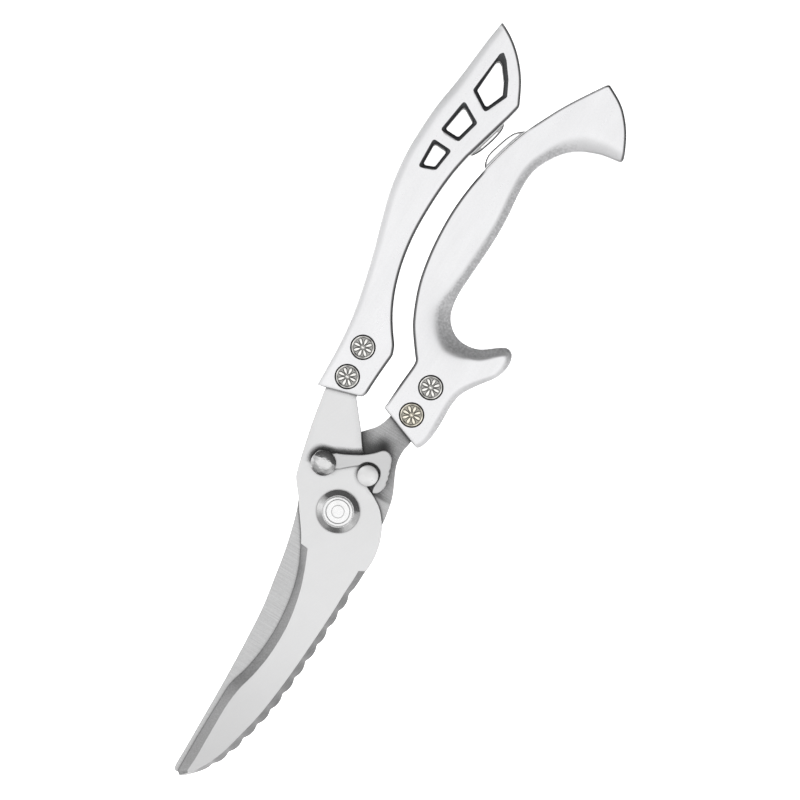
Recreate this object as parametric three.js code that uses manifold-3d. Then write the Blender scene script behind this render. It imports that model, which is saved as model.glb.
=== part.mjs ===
// Poultry shears with cast handles, a scalloped fish-scaler blade and a hooked safety latch.
//
// Frame: millimetres. The origin is on the pivot axis, in the plane on which the shears lie.
// +Y runs from the blade tips to the handles, +X to the finger guard, +Z out of the front face.
// The shears are drawn nearly closed, with the latch hooked round its stud.
import * as THREE from "three";
import { mergeVertices } from "three/addons/utils/BufferGeometryUtils.js";
import Module from "manifold-3d";

const wasm = await Module();
wasm.setup();

// Levels of the stack, from the plane the shears lie on.
const HANDLE_THICKNESS = 12;
const BLADE_THICKNESS = 3;
const REAR_BLADE_BACK = 2.9;
const BLADE_GAP = 0.2;
const REAR_BLADE_FRONT = REAR_BLADE_BACK + BLADE_THICKNESS;
const FRONT_BLADE_BACK = REAR_BLADE_FRONT + BLADE_GAP;
const FRONT_BLADE_FRONT = FRONT_BLADE_BACK + BLADE_THICKNESS;
const EDGE_LAND = 0.3;
const CHAMFER = 0.4;
const FINE_CHAMFER = 0.25;

// Clearances.
const SEAT_GAP = 0.05;
const PIN_CLEARANCE = 0.1;
const SLOT_CLEARANCE = 0.15;

// Pivot.
const PIVOT = [0, 0];
const BOLT_RADIUS = 3;
const BOLT_HEAD_RADIUS = 4.85;
const BOLT_HEAD_TOP = 12;
const COLLAR_RADIUS = 6.9;
const COLLAR_TOP = 11;
const COLLAR_BAND = 0.4;
const COLLAR_SEAT = 10.2;
const NUT_RADIUS = 5.8;
const NUT_THICKNESS = 2.3;
const NUT_FLOOR = 0.5;
const BUSH_RADIUS = 4;
const SPRING_POCKET_RADIUS = 7;
const SPRING_POCKET_DEPTH = 1.35;
const SPRING_RADIUS = 5.6;
const SPRING_WIRE_RADIUS = 0.4;
const SPRING_TURNS = 2;
const SPRING_LEG = 4.2;

// Latch and stud. The latch turns LATCH_RATIO times as far as the blades do.
const LATCH_PIVOT = [-11.4, 11.5];
const LATCH_RIVET_RADIUS = 1.8;
const LATCH_DOME_RADIUS = 4.1;
const LATCH_DOME_HEIGHT = 1.8;
const LATCH_WASHER_RADIUS = 3.6;
const LATCH_WASHER_THICKNESS = 0.2;
const LATCH_THICKNESS = 1.5;
const LATCH_BACK = FRONT_BLADE_FRONT + LATCH_WASHER_THICKNESS + 2 * SEAT_GAP;
const LATCH_FRONT = LATCH_BACK + LATCH_THICKNESS;
const LATCH_RATIO = 3.6;
const LATCH_CLEARANCE = 0.25;
const LATCH_CLEARED_OPENINGS = [-0.75, 0, 0.75, 1.5, 2.25, 3, 3.75, 4.5, 5.25, 6, 6.75, 7.5];
const STUD = [3.05, 14.6];
const STUD_NECK_RADIUS = 2.2;
const STUD_HEAD_RADIUS = 3.4;
const STUD_HEAD_TOP = 12.1;
const NOTCH_CLEARANCE = 0.4;

// Rivets through the handles.
const RIVET_HEAD_RADIUS = 3.95;
const RIVET_HEAD_THICKNESS = 1.2;
const RIVET_PROUD = 0.3;
const RIVET_CROWN = 0.1;
const RIVET_CAP_BACK = 0.3;
const RIVET_PIN_RADIUS = 1.4;
const RIVET_SLEEVE_RADIUS = 2.1;
const RIVETS = {
  front_rivet_lower: [-17.6, 39.5],
  front_rivet_upper: [-17.6, 50.1],
  rear_rivet_lower: [6.3, 38.3],
  rear_rivet_upper: [7.6, 48.9],
};

// Bumpers.
const BUMPER_WIDTH = 5;
const BUMPER_STEM_RADIUS = 1.4;
const BUMPER_STEM_DEPTH = 2.4;

// Rounding of a handle's edge: distance from its middle plane, and distance in from its outline.
const EDGE_ROUNDING = [
  [6, 1.5],
  [5.5, 0.5],
  [4.5, 0],
];

const ROUND_SIDES = 40;
const PIN_SIDES = 24;
const SPLINE_STEPS = 2;
const SHARP_TURN_COSINE = Math.cos(THREE.MathUtils.degToRad(35));

// ---------------------------------------------------------------- solids

// A three.js geometry as a manifold solid.
function solid(geometry) {
  const bare = new THREE.BufferGeometry();
  bare.setAttribute("position", geometry.getAttribute("position"));
  bare.setIndex(geometry.index);
  const merged = mergeVertices(bare, 1e-4);
  return new wasm.Manifold(
    new wasm.Mesh({
      numProp: 3,
      vertProperties: new Float32Array(merged.attributes.position.array),
      triVerts: new Uint32Array(merged.index.array),
    }),
  );
}

// A manifold solid as a three.js geometry.
function geometryOf(shape) {
  const { numProp, numVert, vertProperties, triVerts } = shape.getMesh();
  const positions = new Float32Array(numVert * 3);
  for (let i = 0; i < numVert; i++) {
    positions.set(vertProperties.subarray(i * numProp, i * numProp + 3), i * 3);
  }
  const geometry = new THREE.BufferGeometry();
  geometry.setAttribute("position", new THREE.BufferAttribute(positions, 3));
  geometry.setIndex(new THREE.BufferAttribute(new Uint32Array(triVerts), 1));
  geometry.computeVertexNormals();
  return geometry;
}

// An upright cylinder between two levels.
function cylinder([x, y], radius, bottom, top, sides = PIN_SIDES) {
  const geometry = new THREE.CylinderGeometry(radius, radius, top - bottom, sides);
  geometry.rotateX(Math.PI / 2);
  geometry.translate(x, y, (bottom + top) / 2);
  return solid(geometry);
}

// An upright turned solid from a profile of [radius, level] pairs, drawn up its outside.
function turned([x, y], profile, sides = ROUND_SIDES) {
  const points = profile.map(([radius, level]) => new THREE.Vector2(radius, level));
  const geometry = new THREE.LatheGeometry(points, sides);
  geometry.rotateX(Math.PI / 2);
  geometry.translate(x, y, 0);
  return solid(geometry);
}

// ---------------------------------------------------------------- outlines

// Points along runs that follow each other from a start. A run of one point is a straight line,
// and a longer run is a smooth curve through its points.
function trace(start, ...runs) {
  const path = new THREE.Path();
  path.moveTo(...start);
  for (const run of runs) {
    if (run.length === 1) path.lineTo(...run[0]);
    else path.splineThru(run.map(([x, y]) => new THREE.Vector2(x, y)));
  }
  return path.getPoints(SPLINE_STEPS);
}

// The directions in which an outline arrives at a point and leaves it.
function directionsAt(outline, i) {
  const point = outline[i];
  const arriving = point.clone().sub(outline.at(i - 1)).normalize();
  const leaving = outline[(i + 1) % outline.length].clone().sub(point).normalize();
  return [arriving, leaving];
}

// The outline moved inwards at each point by distance (outwards where it is negative).
// Outlines run anticlockwise seen from the front.
function inset(outline, distance) {
  return outline.map((point, i) => {
    const [arriving, leaving] = directionsAt(outline, i);
    const normal = new THREE.Vector2(-arriving.y - leaving.y, arriving.x + leaving.x).normalize();
    const slant = Math.max(0.6, normal.x * -arriving.y + normal.y * arriving.x);
    const amount = typeof distance === "number" ? distance : distance[i];
    return point.clone().addScaledVector(normal, amount / slant);
  });
}

// How far each point of an outline is from the nearest sharp corner.
function distancesToCorners(outline) {
  const corners = outline.filter((_, i) => {
    const [arriving, leaving] = directionsAt(outline, i);
    return arriving.dot(leaving) < SHARP_TURN_COSINE;
  });
  return outline.map((point) => Math.min(...corners.map((corner) => corner.distanceTo(point))));
}

// A closed solid through outlines that have as many points each, as [level, outline] from the back up.
function loft(rings) {
  const count = rings[0][1].length;
  const positions = rings.flatMap(([level, outline]) => outline.flatMap(({ x, y }) => [x, y, level]));
  const index = [];
  for (let ring = 0; ring + 1 < rings.length; ring++) {
    for (let i = 0; i < count; i++) {
      const a = ring * count + i;
      const b = ring * count + ((i + 1) % count);
      index.push(a, b, b + count, a, b + count, a + count);
    }
  }
  const top = (rings.length - 1) * count;
  for (const [a, b, c] of THREE.ShapeUtils.triangulateShape(rings[0][1], [])) index.push(c, b, a);
  for (const [a, b, c] of THREE.ShapeUtils.triangulateShape(rings.at(-1)[1], [])) {
    index.push(top + a, top + b, top + c);
  }
  const geometry = new THREE.BufferGeometry();
  geometry.setAttribute("position", new THREE.Float32BufferAttribute(positions, 3));
  geometry.setIndex(index);
  return solid(geometry);
}

// A flat plate between two levels.
function plate(outline, bottom, top) {
  return loft([
    [bottom, outline],
    [top, outline],
  ]);
}

// A cast bar between the lying plane and the handle's front. Its edges are rounded, less so near
// a sharp corner.
function castBar(outline) {
  const middle = HANDLE_THICKNESS / 2;
  const room = distancesToCorners(outline);
  const level = (side, [out, inwards]) => {
    const limited = room.map((distance) => Math.min(inwards, 0.1 + 0.35 * distance));
    return [middle + side * out, inset(outline, limited)];
  };
  const back = EDGE_ROUNDING.map((step) => level(-1, step));
  const front = EDGE_ROUNDING.map((step) => level(1, step)).reverse();
  return loft([...back, ...front]);
}

// ---------------------------------------------------------------- blades

// Points that share a count, along two curves, for a stretch of edge that is ground at a slope.
function stretch(outer, inner, count) {
  const outerCurve = new THREE.SplineCurve(outer.map(([x, y]) => new THREE.Vector2(x, y)));
  const innerCurve = new THREE.SplineCurve(inner.map(([x, y]) => new THREE.Vector2(x, y)));
  return { edge: outerCurve.getSpacedPoints(count), face: innerCurve.getSpacedPoints(count) };
}

// A stretch of edge that is left square.
function square(start, ...runs) {
  const points = trace(start, ...runs);
  return { edge: points, face: points };
}

const join = (stretches, side) => stretches.flatMap((part) => part[side]);

// The scaler edge, with lobes standing out from the curve through its hollows.
const SCALER_LOBES = 11;
const SCALER_LOBE_HEIGHT = 0.95;
const SCALER_LOBE_FULLNESS = 0.7;
const SCALER_STEPS_PER_LOBE = 6;

function scalerEdge() {
  const hollows = [[2.4, -90.2], [5.2, -84.3], [7.3, -78], [9.2, -71.8], [10.6, -66], [11.6, -60],
    [12.6, -53.5], [13.2, -47.3], [14, -41], [14.4, -34.6], [15, -28.4], [15.5, -22]];
  const band = [[1.6, -90], [3.6, -85.5], [5.4, -80], [8.2, -70], [10.1, -60], [11.5, -50],
    [12.6, -40], [13.6, -30], [14.1, -22]];
  const { edge, face } = stretch(hollows, band, SCALER_LOBES * SCALER_STEPS_PER_LOBE);
  const lobed = edge.map((point, i) => {
    const before = edge[Math.max(i - 1, 0)];
    const after = edge[Math.min(i + 1, edge.length - 1)];
    const along = after.clone().sub(before).normalize();
    const swell = Math.abs(Math.sin((Math.PI * i) / SCALER_STEPS_PER_LOBE));
    const height = SCALER_LOBE_HEIGHT * swell ** SCALER_LOBE_FULLNESS;
    return point.clone().add(new THREE.Vector2(along.y, -along.x).multiplyScalar(height));
  });
  return { edge: lobed, face };
}

function frontBlade() {
  const leftOfTang = square([-22.6, 55], [[-22.1, 32.4]],
    [[-20.9, 22.5], [-19.2, 12.5], [-17.9, 6], [-17, 3.2], [-15.2, 0.6], [-13.5, -1.8]],
    [[-11.5, -5], [-9, -8.8], [-7, -12], [-5.6, -14.7]]);
  const cuttingEdge = stretch(
    [[-5.5, -15], [-2.6, -22], [-0.7, -30], [0.1, -40], [-0.5, -49.5], [-2.2, -58], [-4.5, -65],
      [-5.1, -72], [-5.8, -83], [-6.1, -91], [-6.3, -97.8]],
    [[-3, -15.1], [-0.5, -22], [1.6, -30], [2.8, -40], [2.3, -50], [0.8, -58], [-1.3, -65], [-2.4, -72],
      [-2.9, -83], [-3.2, -91], [-3.7, -95.8]],
    36);
  const tip = stretch([[-5.2, -98.6], [-3.3, -97.6], [-1.6, -96], [0.6, -93.8], [2.1, -91.6]],
    [[-3.2, -96.4], [-2.4, -95.8], [-1.4, -94.5], [-0.1, -92.6], [1, -91]], 8);
  const topOfBand = stretch([[15.7, -21], [16.2, -19.4], [16.5, -17], [16.8, -13.1]],
    [[14.2, -21], [14.4, -19], [14.6, -17], [14.75, -13.8]], 5);
  const rightOfTang = square([17, -12.7],
    [[17.3, -9], [17.1, -5.5], [16.4, -2], [14.7, 2.3], [12.2, 6], [10.4, 7.8]],
    [[8.5, 9.1], [6.5, 10.3], [4.6, 11.3]], ...notch(), [[-5.5, 26.1]], [[-11.9, 34.9]], [[-12.3, 55]]);
  const parts = [leftOfTang, cuttingEdge, tip, scalerEdge(), topOfBand, rightOfTang];
  const edge = join(parts, "edge");
  let blade = loft([
    [FRONT_BLADE_BACK, edge],
    [FRONT_BLADE_BACK + EDGE_LAND, edge],
    [FRONT_BLADE_FRONT, join(parts, "face")],
  ]);
  const pocketTop = FRONT_BLADE_BACK + SPRING_POCKET_DEPTH;
  blade = blade.subtract(springPocket(FRONT_BLADE_BACK - 1, pocketTop, 1));
  blade = bored(blade, PIVOT, BOLT_RADIUS + PIN_CLEARANCE);
  blade = bored(blade, LATCH_PIVOT, LATCH_RIVET_RADIUS + PIN_CLEARANCE);
  blade = bored(blade, RIVETS.front_rivet_lower, RIVET_SLEEVE_RADIUS + PIN_CLEARANCE);
  return bored(blade, RIVETS.front_rivet_upper, RIVET_SLEEVE_RADIUS + PIN_CLEARANCE);
}

// The round notch in the front blade that the neck of the stud sits in, as runs of an outline.
function notch() {
  const radius = STUD_NECK_RADIUS + NOTCH_CLEARANCE;
  const points = [];
  for (let turn = 0; turn <= 6; turn++) {
    const angle = THREE.MathUtils.degToRad(-75 - turn * 30);
    points.push([STUD[0] + radius * Math.cos(angle), STUD[1] + radius * Math.sin(angle)]);
  }
  return [points, [[-2, 20.8]]];
}

function rearBlade() {
  const spine = square([2.2, 55], [[1.4, 42], [0.4, 34.8], [-1.6, 30], [-5.4, 26], [-10, 20],
    [-12.7, 11], [-13.8, 3], [-13.6, -1.4]], [[-12, -5.8], [-10.4, -12.6], [-9, -20.5], [-8, -29],
    [-7, -38], [-6.7, -49], [-6.8, -64], [-7.3, -80], [-7.9, -96.5]], [[-7.6, -97.8]], [[-6.4, -98]]);
  const cuttingEdge = stretch(
    [[-4.6, -97], [-1.6, -90], [0.6, -80], [2.6, -68], [5, -56], [6.6, -45], [6.6, -33], [5, -22],
      [3.4, -15]],
    [[-5.6, -95.6], [-4, -90], [-2, -80], [0.2, -68], [2.6, -56], [4, -45], [4, -33], [2.4, -22],
      [1, -15]],
    24);
  const heel = square([3.4, -14.6], [[7, -11.5], [11, -8], [13.6, -3], [14.5, 3.3], [13.7, 10.4],
    [12.4, 14.6], [10.5, 19.2], [9.4, 23], [9.4, 27], [10.1, 30.1], [11.4, 40], [12, 55]]);
  const parts = [spine, cuttingEdge, heel];
  const edge = join(parts, "edge");
  let blade = loft([
    [REAR_BLADE_BACK, join(parts, "face")],
    [REAR_BLADE_FRONT - EDGE_LAND, edge],
    [REAR_BLADE_FRONT, edge],
  ]);
  const pocketBottom = REAR_BLADE_FRONT - SPRING_POCKET_DEPTH;
  blade = blade.subtract(springPocket(pocketBottom, REAR_BLADE_FRONT + 1, -1));
  blade = bored(blade, PIVOT, BUSH_RADIUS + SEAT_GAP);
  blade = bored(blade, STUD, STUD_NECK_RADIUS + SEAT_GAP);
  blade = bored(blade, RIVETS.rear_rivet_lower, RIVET_SLEEVE_RADIUS + PIN_CLEARANCE);
  return bored(blade, RIVETS.rear_rivet_upper, RIVET_SLEEVE_RADIUS + PIN_CLEARANCE);
}

// A hole right through the stack.
function bored(shape, place, radius) {
  return shape.subtract(cylinder(place, radius, -1, HANDLE_THICKNESS + 1));
}

// ---------------------------------------------------------------- spring

// The wire's centre line: a straight leg, the coils, and the other leg.
class SpringPath extends THREE.Curve {
  getPoint(t, target = new THREE.Vector3()) {
    const coilLength = 2 * Math.PI * SPRING_RADIUS * SPRING_TURNS;
    const length = coilLength + 2 * SPRING_LEG;
    const along = THREE.MathUtils.clamp(t, 0, 1) * length;
    const travel = THREE.MathUtils.clamp(along - SPRING_LEG, 0, coilLength);
    const angle = travel / SPRING_RADIUS;
    const straight = along - SPRING_LEG - travel;
    const middle = (REAR_BLADE_FRONT + FRONT_BLADE_BACK) / 2;
    const rise = 2 * (SPRING_POCKET_DEPTH - SPRING_WIRE_RADIUS);
    const level = middle + rise * (travel / coilLength - 0.5);
    return target.set(
      SPRING_RADIUS * Math.cos(angle) - straight * Math.sin(angle),
      SPRING_RADIUS * Math.sin(angle) + straight * Math.cos(angle),
      level,
    );
  }
}

function torsionSpring() {
  const section = new THREE.Shape();
  section.absarc(0, 0, SPRING_WIRE_RADIUS, 0, 2 * Math.PI);
  const geometry = new THREE.ExtrudeGeometry(section, {
    steps: 30 * SPRING_TURNS,
    curveSegments: 4,
    extrudePath: new SpringPath(),
  });
  return solid(geometry);
}

// Room in a blade's mating face for the coils and for the leg, which points along Y by its sign.
function springPocket(bottom, top, legSign) {
  const coils = cylinder(PIVOT, SPRING_POCKET_RADIUS, bottom, top, ROUND_SIDES);
  const width = 4 * SPRING_WIRE_RADIUS;
  const length = SPRING_LEG + 2 * SPRING_WIRE_RADIUS;
  const slot = new THREE.BoxGeometry(width, length, top - bottom);
  slot.translate(SPRING_RADIUS, (legSign * length) / 2, (bottom + top) / 2);
  return coils.add(solid(slot));
}

// ---------------------------------------------------------------- pivot

function pivotBolt() {
  return turned(PIVOT, [
    [0, NUT_FLOOR + SEAT_GAP],
    [BOLT_RADIUS, NUT_FLOOR + SEAT_GAP],
    [BOLT_RADIUS, COLLAR_SEAT + SEAT_GAP],
    [BOLT_HEAD_RADIUS, COLLAR_SEAT + SEAT_GAP],
    [BOLT_HEAD_RADIUS, BOLT_HEAD_TOP - CHAMFER],
    [BOLT_HEAD_RADIUS - CHAMFER, BOLT_HEAD_TOP],
    [0, BOLT_HEAD_TOP],
  ]);
}

function pivotCollar() {
  const bore = BOLT_RADIUS + PIN_CLEARANCE;
  const seat = BOLT_HEAD_RADIUS + PIN_CLEARANCE;
  const bottom = FRONT_BLADE_FRONT + SEAT_GAP;
  return turned(PIVOT, [
    [bore, bottom],
    [COLLAR_RADIUS, bottom],
    [COLLAR_RADIUS, bottom + COLLAR_BAND],
    [seat + CHAMFER, COLLAR_TOP],
    [seat, COLLAR_TOP],
    [seat, COLLAR_SEAT],
    [bore, COLLAR_SEAT],
    [bore, bottom],
  ]);
}

function pivotNut() {
  const hexagon = cylinder(PIVOT, NUT_RADIUS, 0, NUT_THICKNESS, 6);
  const blindHole = cylinder(PIVOT, BOLT_RADIUS + SEAT_GAP, NUT_FLOOR, NUT_THICKNESS + 1, ROUND_SIDES);
  return hexagon.subtract(blindHole);
}

// A flat ring between two levels.
function flatRing(place, inner, outer, bottom, top) {
  return turned(place, [
    [inner, bottom],
    [outer, bottom],
    [outer, top],
    [inner, top],
    [inner, bottom],
  ]);
}

function pivotWasher() {
  const inner = BOLT_RADIUS + PIN_CLEARANCE;
  return flatRing(PIVOT, inner, NUT_RADIUS, NUT_THICKNESS + SEAT_GAP, REAR_BLADE_BACK - SEAT_GAP);
}

function pivotBush() {
  const inner = BOLT_RADIUS + PIN_CLEARANCE;
  const top = FRONT_BLADE_BACK + SPRING_POCKET_DEPTH - SEAT_GAP;
  return flatRing(PIVOT, inner, BUSH_RADIUS, REAR_BLADE_BACK, top);
}

// ---------------------------------------------------------------- latch

// Where the stud is in the latch's own frame when the blades have opened by an angle.
function studSeenFromLatch(opening) {
  const origin = new THREE.Vector2(...PIVOT);
  const latchPivot = new THREE.Vector2(...LATCH_PIVOT);
  const stud = new THREE.Vector2(...STUD).rotateAround(origin, -opening);
  return stud.rotateAround(latchPivot, -LATCH_RATIO * opening).toArray();
}

function safetyLatch() {
  const outline = trace([-7.4, 10.9],
    [[-3.9, 13.9], [-0.9, 16.1]],
    [[0, 17.6], [1.3, 18.5], [3, 18.85], [4.6, 18.5], [5.9, 17.6], [6.6, 15.8], [6.5, 13.4],
      [6.4, 11.3]],
    [[7.1, 10.3]],
    [[8.5, 11.2], [9.3, 12.8], [9.6, 14.8]],
    [[9.1, 15.6], [9.4, 16.6]], [[8.8, 17.4], [9, 18.4]], [[8.3, 19.2], [8.4, 20.3]], [[7.8, 21.2]],
    [[7.4, 22.7], [6.3, 23.9], [4.8, 24.4], [3.3, 23.8], [1.8, 22.3], [-1, 20.1], [-5, 18], [-9, 16.4],
      [-12.9, 15.9], [-15.1, 14.8], [-15.9, 12.6], [-15.2, 10.2], [-13.5, 8.4], [-11, 7.9],
        [-8.6, 8.9]],
    [[-7.6, 10.7]]);
  let latch = plate(outline, LATCH_BACK, LATCH_FRONT);
  const room = STUD_NECK_RADIUS + LATCH_CLEARANCE;
  for (const opening of LATCH_CLEARED_OPENINGS) {
    const neck = studSeenFromLatch(THREE.MathUtils.degToRad(opening));
    latch = latch.subtract(cylinder(neck, room, LATCH_BACK - 1, LATCH_FRONT + 1));
  }
  return bored(latch, LATCH_PIVOT, LATCH_RIVET_RADIUS + PIN_CLEARANCE);
}

function latchRivet() {
  const domeBase = LATCH_FRONT + SEAT_GAP;
  const profile = [
    [0, FRONT_BLADE_BACK],
    [LATCH_RIVET_RADIUS, FRONT_BLADE_BACK],
    [LATCH_RIVET_RADIUS, domeBase],
  ];
  const steps = 6;
  for (let step = 0; step <= steps; step++) {
    const angle = (Math.PI / 2) * (step / steps);
    const radius = step === steps ? 0 : LATCH_DOME_RADIUS * Math.cos(angle);
    profile.push([radius, domeBase + LATCH_DOME_HEIGHT * Math.sin(angle)]);
  }
  return turned(LATCH_PIVOT, profile, 32);
}

function latchWasher() {
  const bottom = FRONT_BLADE_FRONT + SEAT_GAP;
  const inner = LATCH_RIVET_RADIUS + PIN_CLEARANCE;
  return flatRing(LATCH_PIVOT, inner, LATCH_WASHER_RADIUS, bottom, bottom + LATCH_WASHER_THICKNESS);
}

function latchStud() {
  const headBottom = LATCH_FRONT + 2 * SEAT_GAP;
  return turned(STUD, [
    [0, REAR_BLADE_BACK],
    [STUD_NECK_RADIUS, REAR_BLADE_BACK],
    [STUD_NECK_RADIUS, headBottom],
    [STUD_HEAD_RADIUS, headBottom],
    [STUD_HEAD_RADIUS, STUD_HEAD_TOP - FINE_CHAMFER],
    [STUD_HEAD_RADIUS - FINE_CHAMFER, STUD_HEAD_TOP],
    [0, STUD_HEAD_TOP],
  ]);
}

// ---------------------------------------------------------------- handles

const FRONT_HANDLE_OUTLINE = trace([-25, 32.5],
  [[-10.3, 36]],
  [[-9.6, 37.6]],
  [[-8.9, 45], [-8, 52.2]],
  [[-9, 55.3], [-11.5, 59.2], [-14.1, 63.8], [-16.2, 68.7], [-17.7, 73.4], [-18.9, 78.6],
    [-19.7, 84.1], [-20.1, 90], [-20, 97], [-19.3, 105.9], [-18.1, 113.6], [-16.7, 119.4]],
  [[-10.8, 137]],
  [[-9.5, 141.5]],
  [[-13, 149.3], [-17.4, 155.4], [-22.1, 159.8], [-27.1, 162.9]],
  [[-28.7, 155], [-31, 140.3], [-33.1, 129.9], [-34.2, 120], [-34.6, 111], [-33.8, 100],
    [-31.6, 89.1], [-29.4, 80.1], [-27.2, 69.5], [-25.5, 59], [-24.8, 49], [-24.8, 40],
    [-25, 32.5]]).slice(0, -1);

const REAR_HANDLE_OUTLINE = trace([-2.7, 36.3], [[12.8, 29.6]],
  [[14, 31], [15.2, 34.2], [15.9, 40], [16.1, 46.5], [17.3, 51.6], [20.7, 56.6], [24.6, 61.4],
    [26.3, 66], [25.8, 70.2], [23.4, 71.6], [20, 69.9], [15.7, 67.1], [11, 66.3], [7.2, 67.2],
    [4, 69.8], [2.1, 73.4], [1.5, 79], [2.1, 86], [3.3, 97], [3.8, 107], [3.4, 117.5], [4.1, 125],
    [6.6, 130.4], [10.4, 135.1], [15.2, 138.2], [21, 140.1]],
  [[27.3, 140.9]],
  [[27.9, 142.2], [25.5, 148.4], [22.7, 153.1], [18.8, 157.4], [13, 161.1]],
  [[11.9, 160.7], [6.8, 153.8], [2.8, 147.9], [-0.3, 142.5], [-3.4, 136.7], [-6.6, 129],
    [-9.2, 120.8], [-11.5, 111.5], [-12.9, 101], [-13, 90], [-12, 80], [-10.3, 72.8], [-7.4, 65],
    [-4.5, 60], [-1.3, 55.2]],
  [[-0.6, 53.2], [-1.6, 45], [-2.3, 37.8]]);

const WINDOWS = [
  [[-25.2, 139.2], [-18.4, 134.6], [-14.4, 142.3], [-16.7, 147.5], [-20.1, 152.6], [-22.1, 154.5],
    [-23, 153.4]],
  [[-28.4, 123.1], [-21.4, 122.4], [-18.8, 130.5], [-26, 135]],
  [[-29.2, 109.2], [-23.5, 111.1], [-22, 118.9], [-29, 119.6]],
];
const WINDOW_RIM = 1.1;
const WINDOW_RIM_DEPTH = 1.2;

// A window through the handle, wider at both faces by a sloping rim.
function windowCut(corners) {
  const outer = corners.map(([x, y]) => new THREE.Vector2(x, y));
  const inner = inset(outer, WINDOW_RIM);
  return loft([
    [-SEAT_GAP, outer],
    [WINDOW_RIM_DEPTH, inner],
    [HANDLE_THICKNESS - WINDOW_RIM_DEPTH, inner],
    [HANDLE_THICKNESS + SEAT_GAP, outer],
  ]);
}

// The tangs' outlines, carried on past the handles' lower ends.
const FRONT_TANG = [[-21.8, 28], [-7.2, 28], [-11.9, 34.9], [-12.3, 55], [-22.6, 55], [-22.1, 32.4]];
const REAR_TANG = [[-4, 27], [9.4, 26.5], [10.1, 30.1], [11.4, 40], [12, 55], [2.2, 55], [1.4, 42],
  [0.4, 34.8]];

// The slot that a tang fits, a little larger than the tang all round and open at the lower end.
function tangSlot(corners, bottom) {
  const outline = inset(corners.map(([x, y]) => new THREE.Vector2(x, y)), -SLOT_CLEARANCE);
  return plate(outline, bottom - SLOT_CLEARANCE, bottom + BLADE_THICKNESS + SLOT_CLEARANCE);
}

// The hole for a handle rivet with a round recess for its head and for its rear cap.
function rivetHole(place) {
  const recess = RIVET_HEAD_RADIUS + SLOT_CLEARANCE;
  const headBottom = HANDLE_THICKNESS + RIVET_PROUD - RIVET_HEAD_THICKNESS - SEAT_GAP;
  const through = cylinder(place, RIVET_SLEEVE_RADIUS + PIN_CLEARANCE, -1, HANDLE_THICKNESS + 1);
  const front = cylinder(place, recess, headBottom, HANDLE_THICKNESS + 1, ROUND_SIDES);
  const back = cylinder(place, recess, -1, RIVET_HEAD_THICKNESS, ROUND_SIDES);
  return through.add(front).add(back);
}

function frontHandle() {
  let handle = castBar(FRONT_HANDLE_OUTLINE);
  for (const corners of WINDOWS) handle = handle.subtract(windowCut(corners));
  handle = handle.subtract(tangSlot(FRONT_TANG, FRONT_BLADE_BACK));
  handle = handle.subtract(rivetHole(RIVETS.front_rivet_lower));
  handle = handle.subtract(rivetHole(RIVETS.front_rivet_upper));
  return handle.subtract(bumperStem(FRONT_BUMPER, SLOT_CLEARANCE));
}

function rearHandle() {
  let handle = castBar(REAR_HANDLE_OUTLINE);
  handle = handle.subtract(tangSlot(REAR_TANG, REAR_BLADE_BACK));
  handle = handle.subtract(rivetHole(RIVETS.rear_rivet_lower));
  handle = handle.subtract(rivetHole(RIVETS.rear_rivet_upper));
  return handle.subtract(bumperStem(REAR_BUMPER, SLOT_CLEARANCE));
}

// The front half of a handle rivet: a domed head and a pin.
function rivet(place) {
  const top = HANDLE_THICKNESS + RIVET_PROUD;
  const headBottom = top - RIVET_HEAD_THICKNESS;
  return turned(place, [
    [0, 2 * RIVET_HEAD_THICKNESS],
    [RIVET_PIN_RADIUS, 2 * RIVET_HEAD_THICKNESS],
    [RIVET_PIN_RADIUS, headBottom],
    [RIVET_HEAD_RADIUS, headBottom],
    [RIVET_HEAD_RADIUS, top - CHAMFER],
    [RIVET_HEAD_RADIUS - CHAMFER, top - RIVET_CROWN],
    [RIVET_HEAD_RADIUS / 2, top],
    [0, top],
  ], 32);
}

// The rear half of a handle rivet: a flat cap and the sleeve that grips the pin.
function rivetCap(place) {
  const bore = RIVET_PIN_RADIUS + SEAT_GAP;
  const sleeveTop = HANDLE_THICKNESS + RIVET_PROUD - RIVET_HEAD_THICKNESS - SEAT_GAP;
  const cap = turned(place, [
    [0, RIVET_CAP_BACK],
    [RIVET_HEAD_RADIUS - FINE_CHAMFER, RIVET_CAP_BACK],
    [RIVET_HEAD_RADIUS, RIVET_CAP_BACK + FINE_CHAMFER],
    [RIVET_HEAD_RADIUS, RIVET_HEAD_THICKNESS - SEAT_GAP],
    [RIVET_SLEEVE_RADIUS, RIVET_HEAD_THICKNESS - SEAT_GAP],
    [RIVET_SLEEVE_RADIUS, sleeveTop],
    [0, sleeveTop],
  ], 32);
  const boreBottom = 2 * RIVET_HEAD_THICKNESS - 2 * PIN_CLEARANCE;
  return cap.subtract(cylinder(place, bore, boreBottom, HANDLE_THICKNESS + 1));
}

// ---------------------------------------------------------------- bumpers

// A bumper's rounded side, the handle edge that it sits on, and its stem's place and direction.
const FRONT_BUMPER = {
  start: [-17.8, 119.6],
  crest: [[-15.5, 120.9], [-13.9, 123.2], [-12.5, 126.6], [-11.6, 129.3], [-11, 132], [-11, 133.8],
    [-11.9, 137.2]],
  stem: [-14.3, 128.3],
  into: THREE.MathUtils.degToRad(161.6),
};
const REAR_BUMPER = {
  start: [-9.2, 118],
  crest: [[-10.3, 119.4], [-11.1, 121.9], [-10.9, 124.4], [-9.9, 127.3], [-8.9, 130], [-7.8, 132.3],
    [-6.6, 133.9], [-3.6, 136.2]],
  stem: [-7.6, 126.3],
  into: THREE.MathUtils.degToRad(-17),
};

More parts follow.
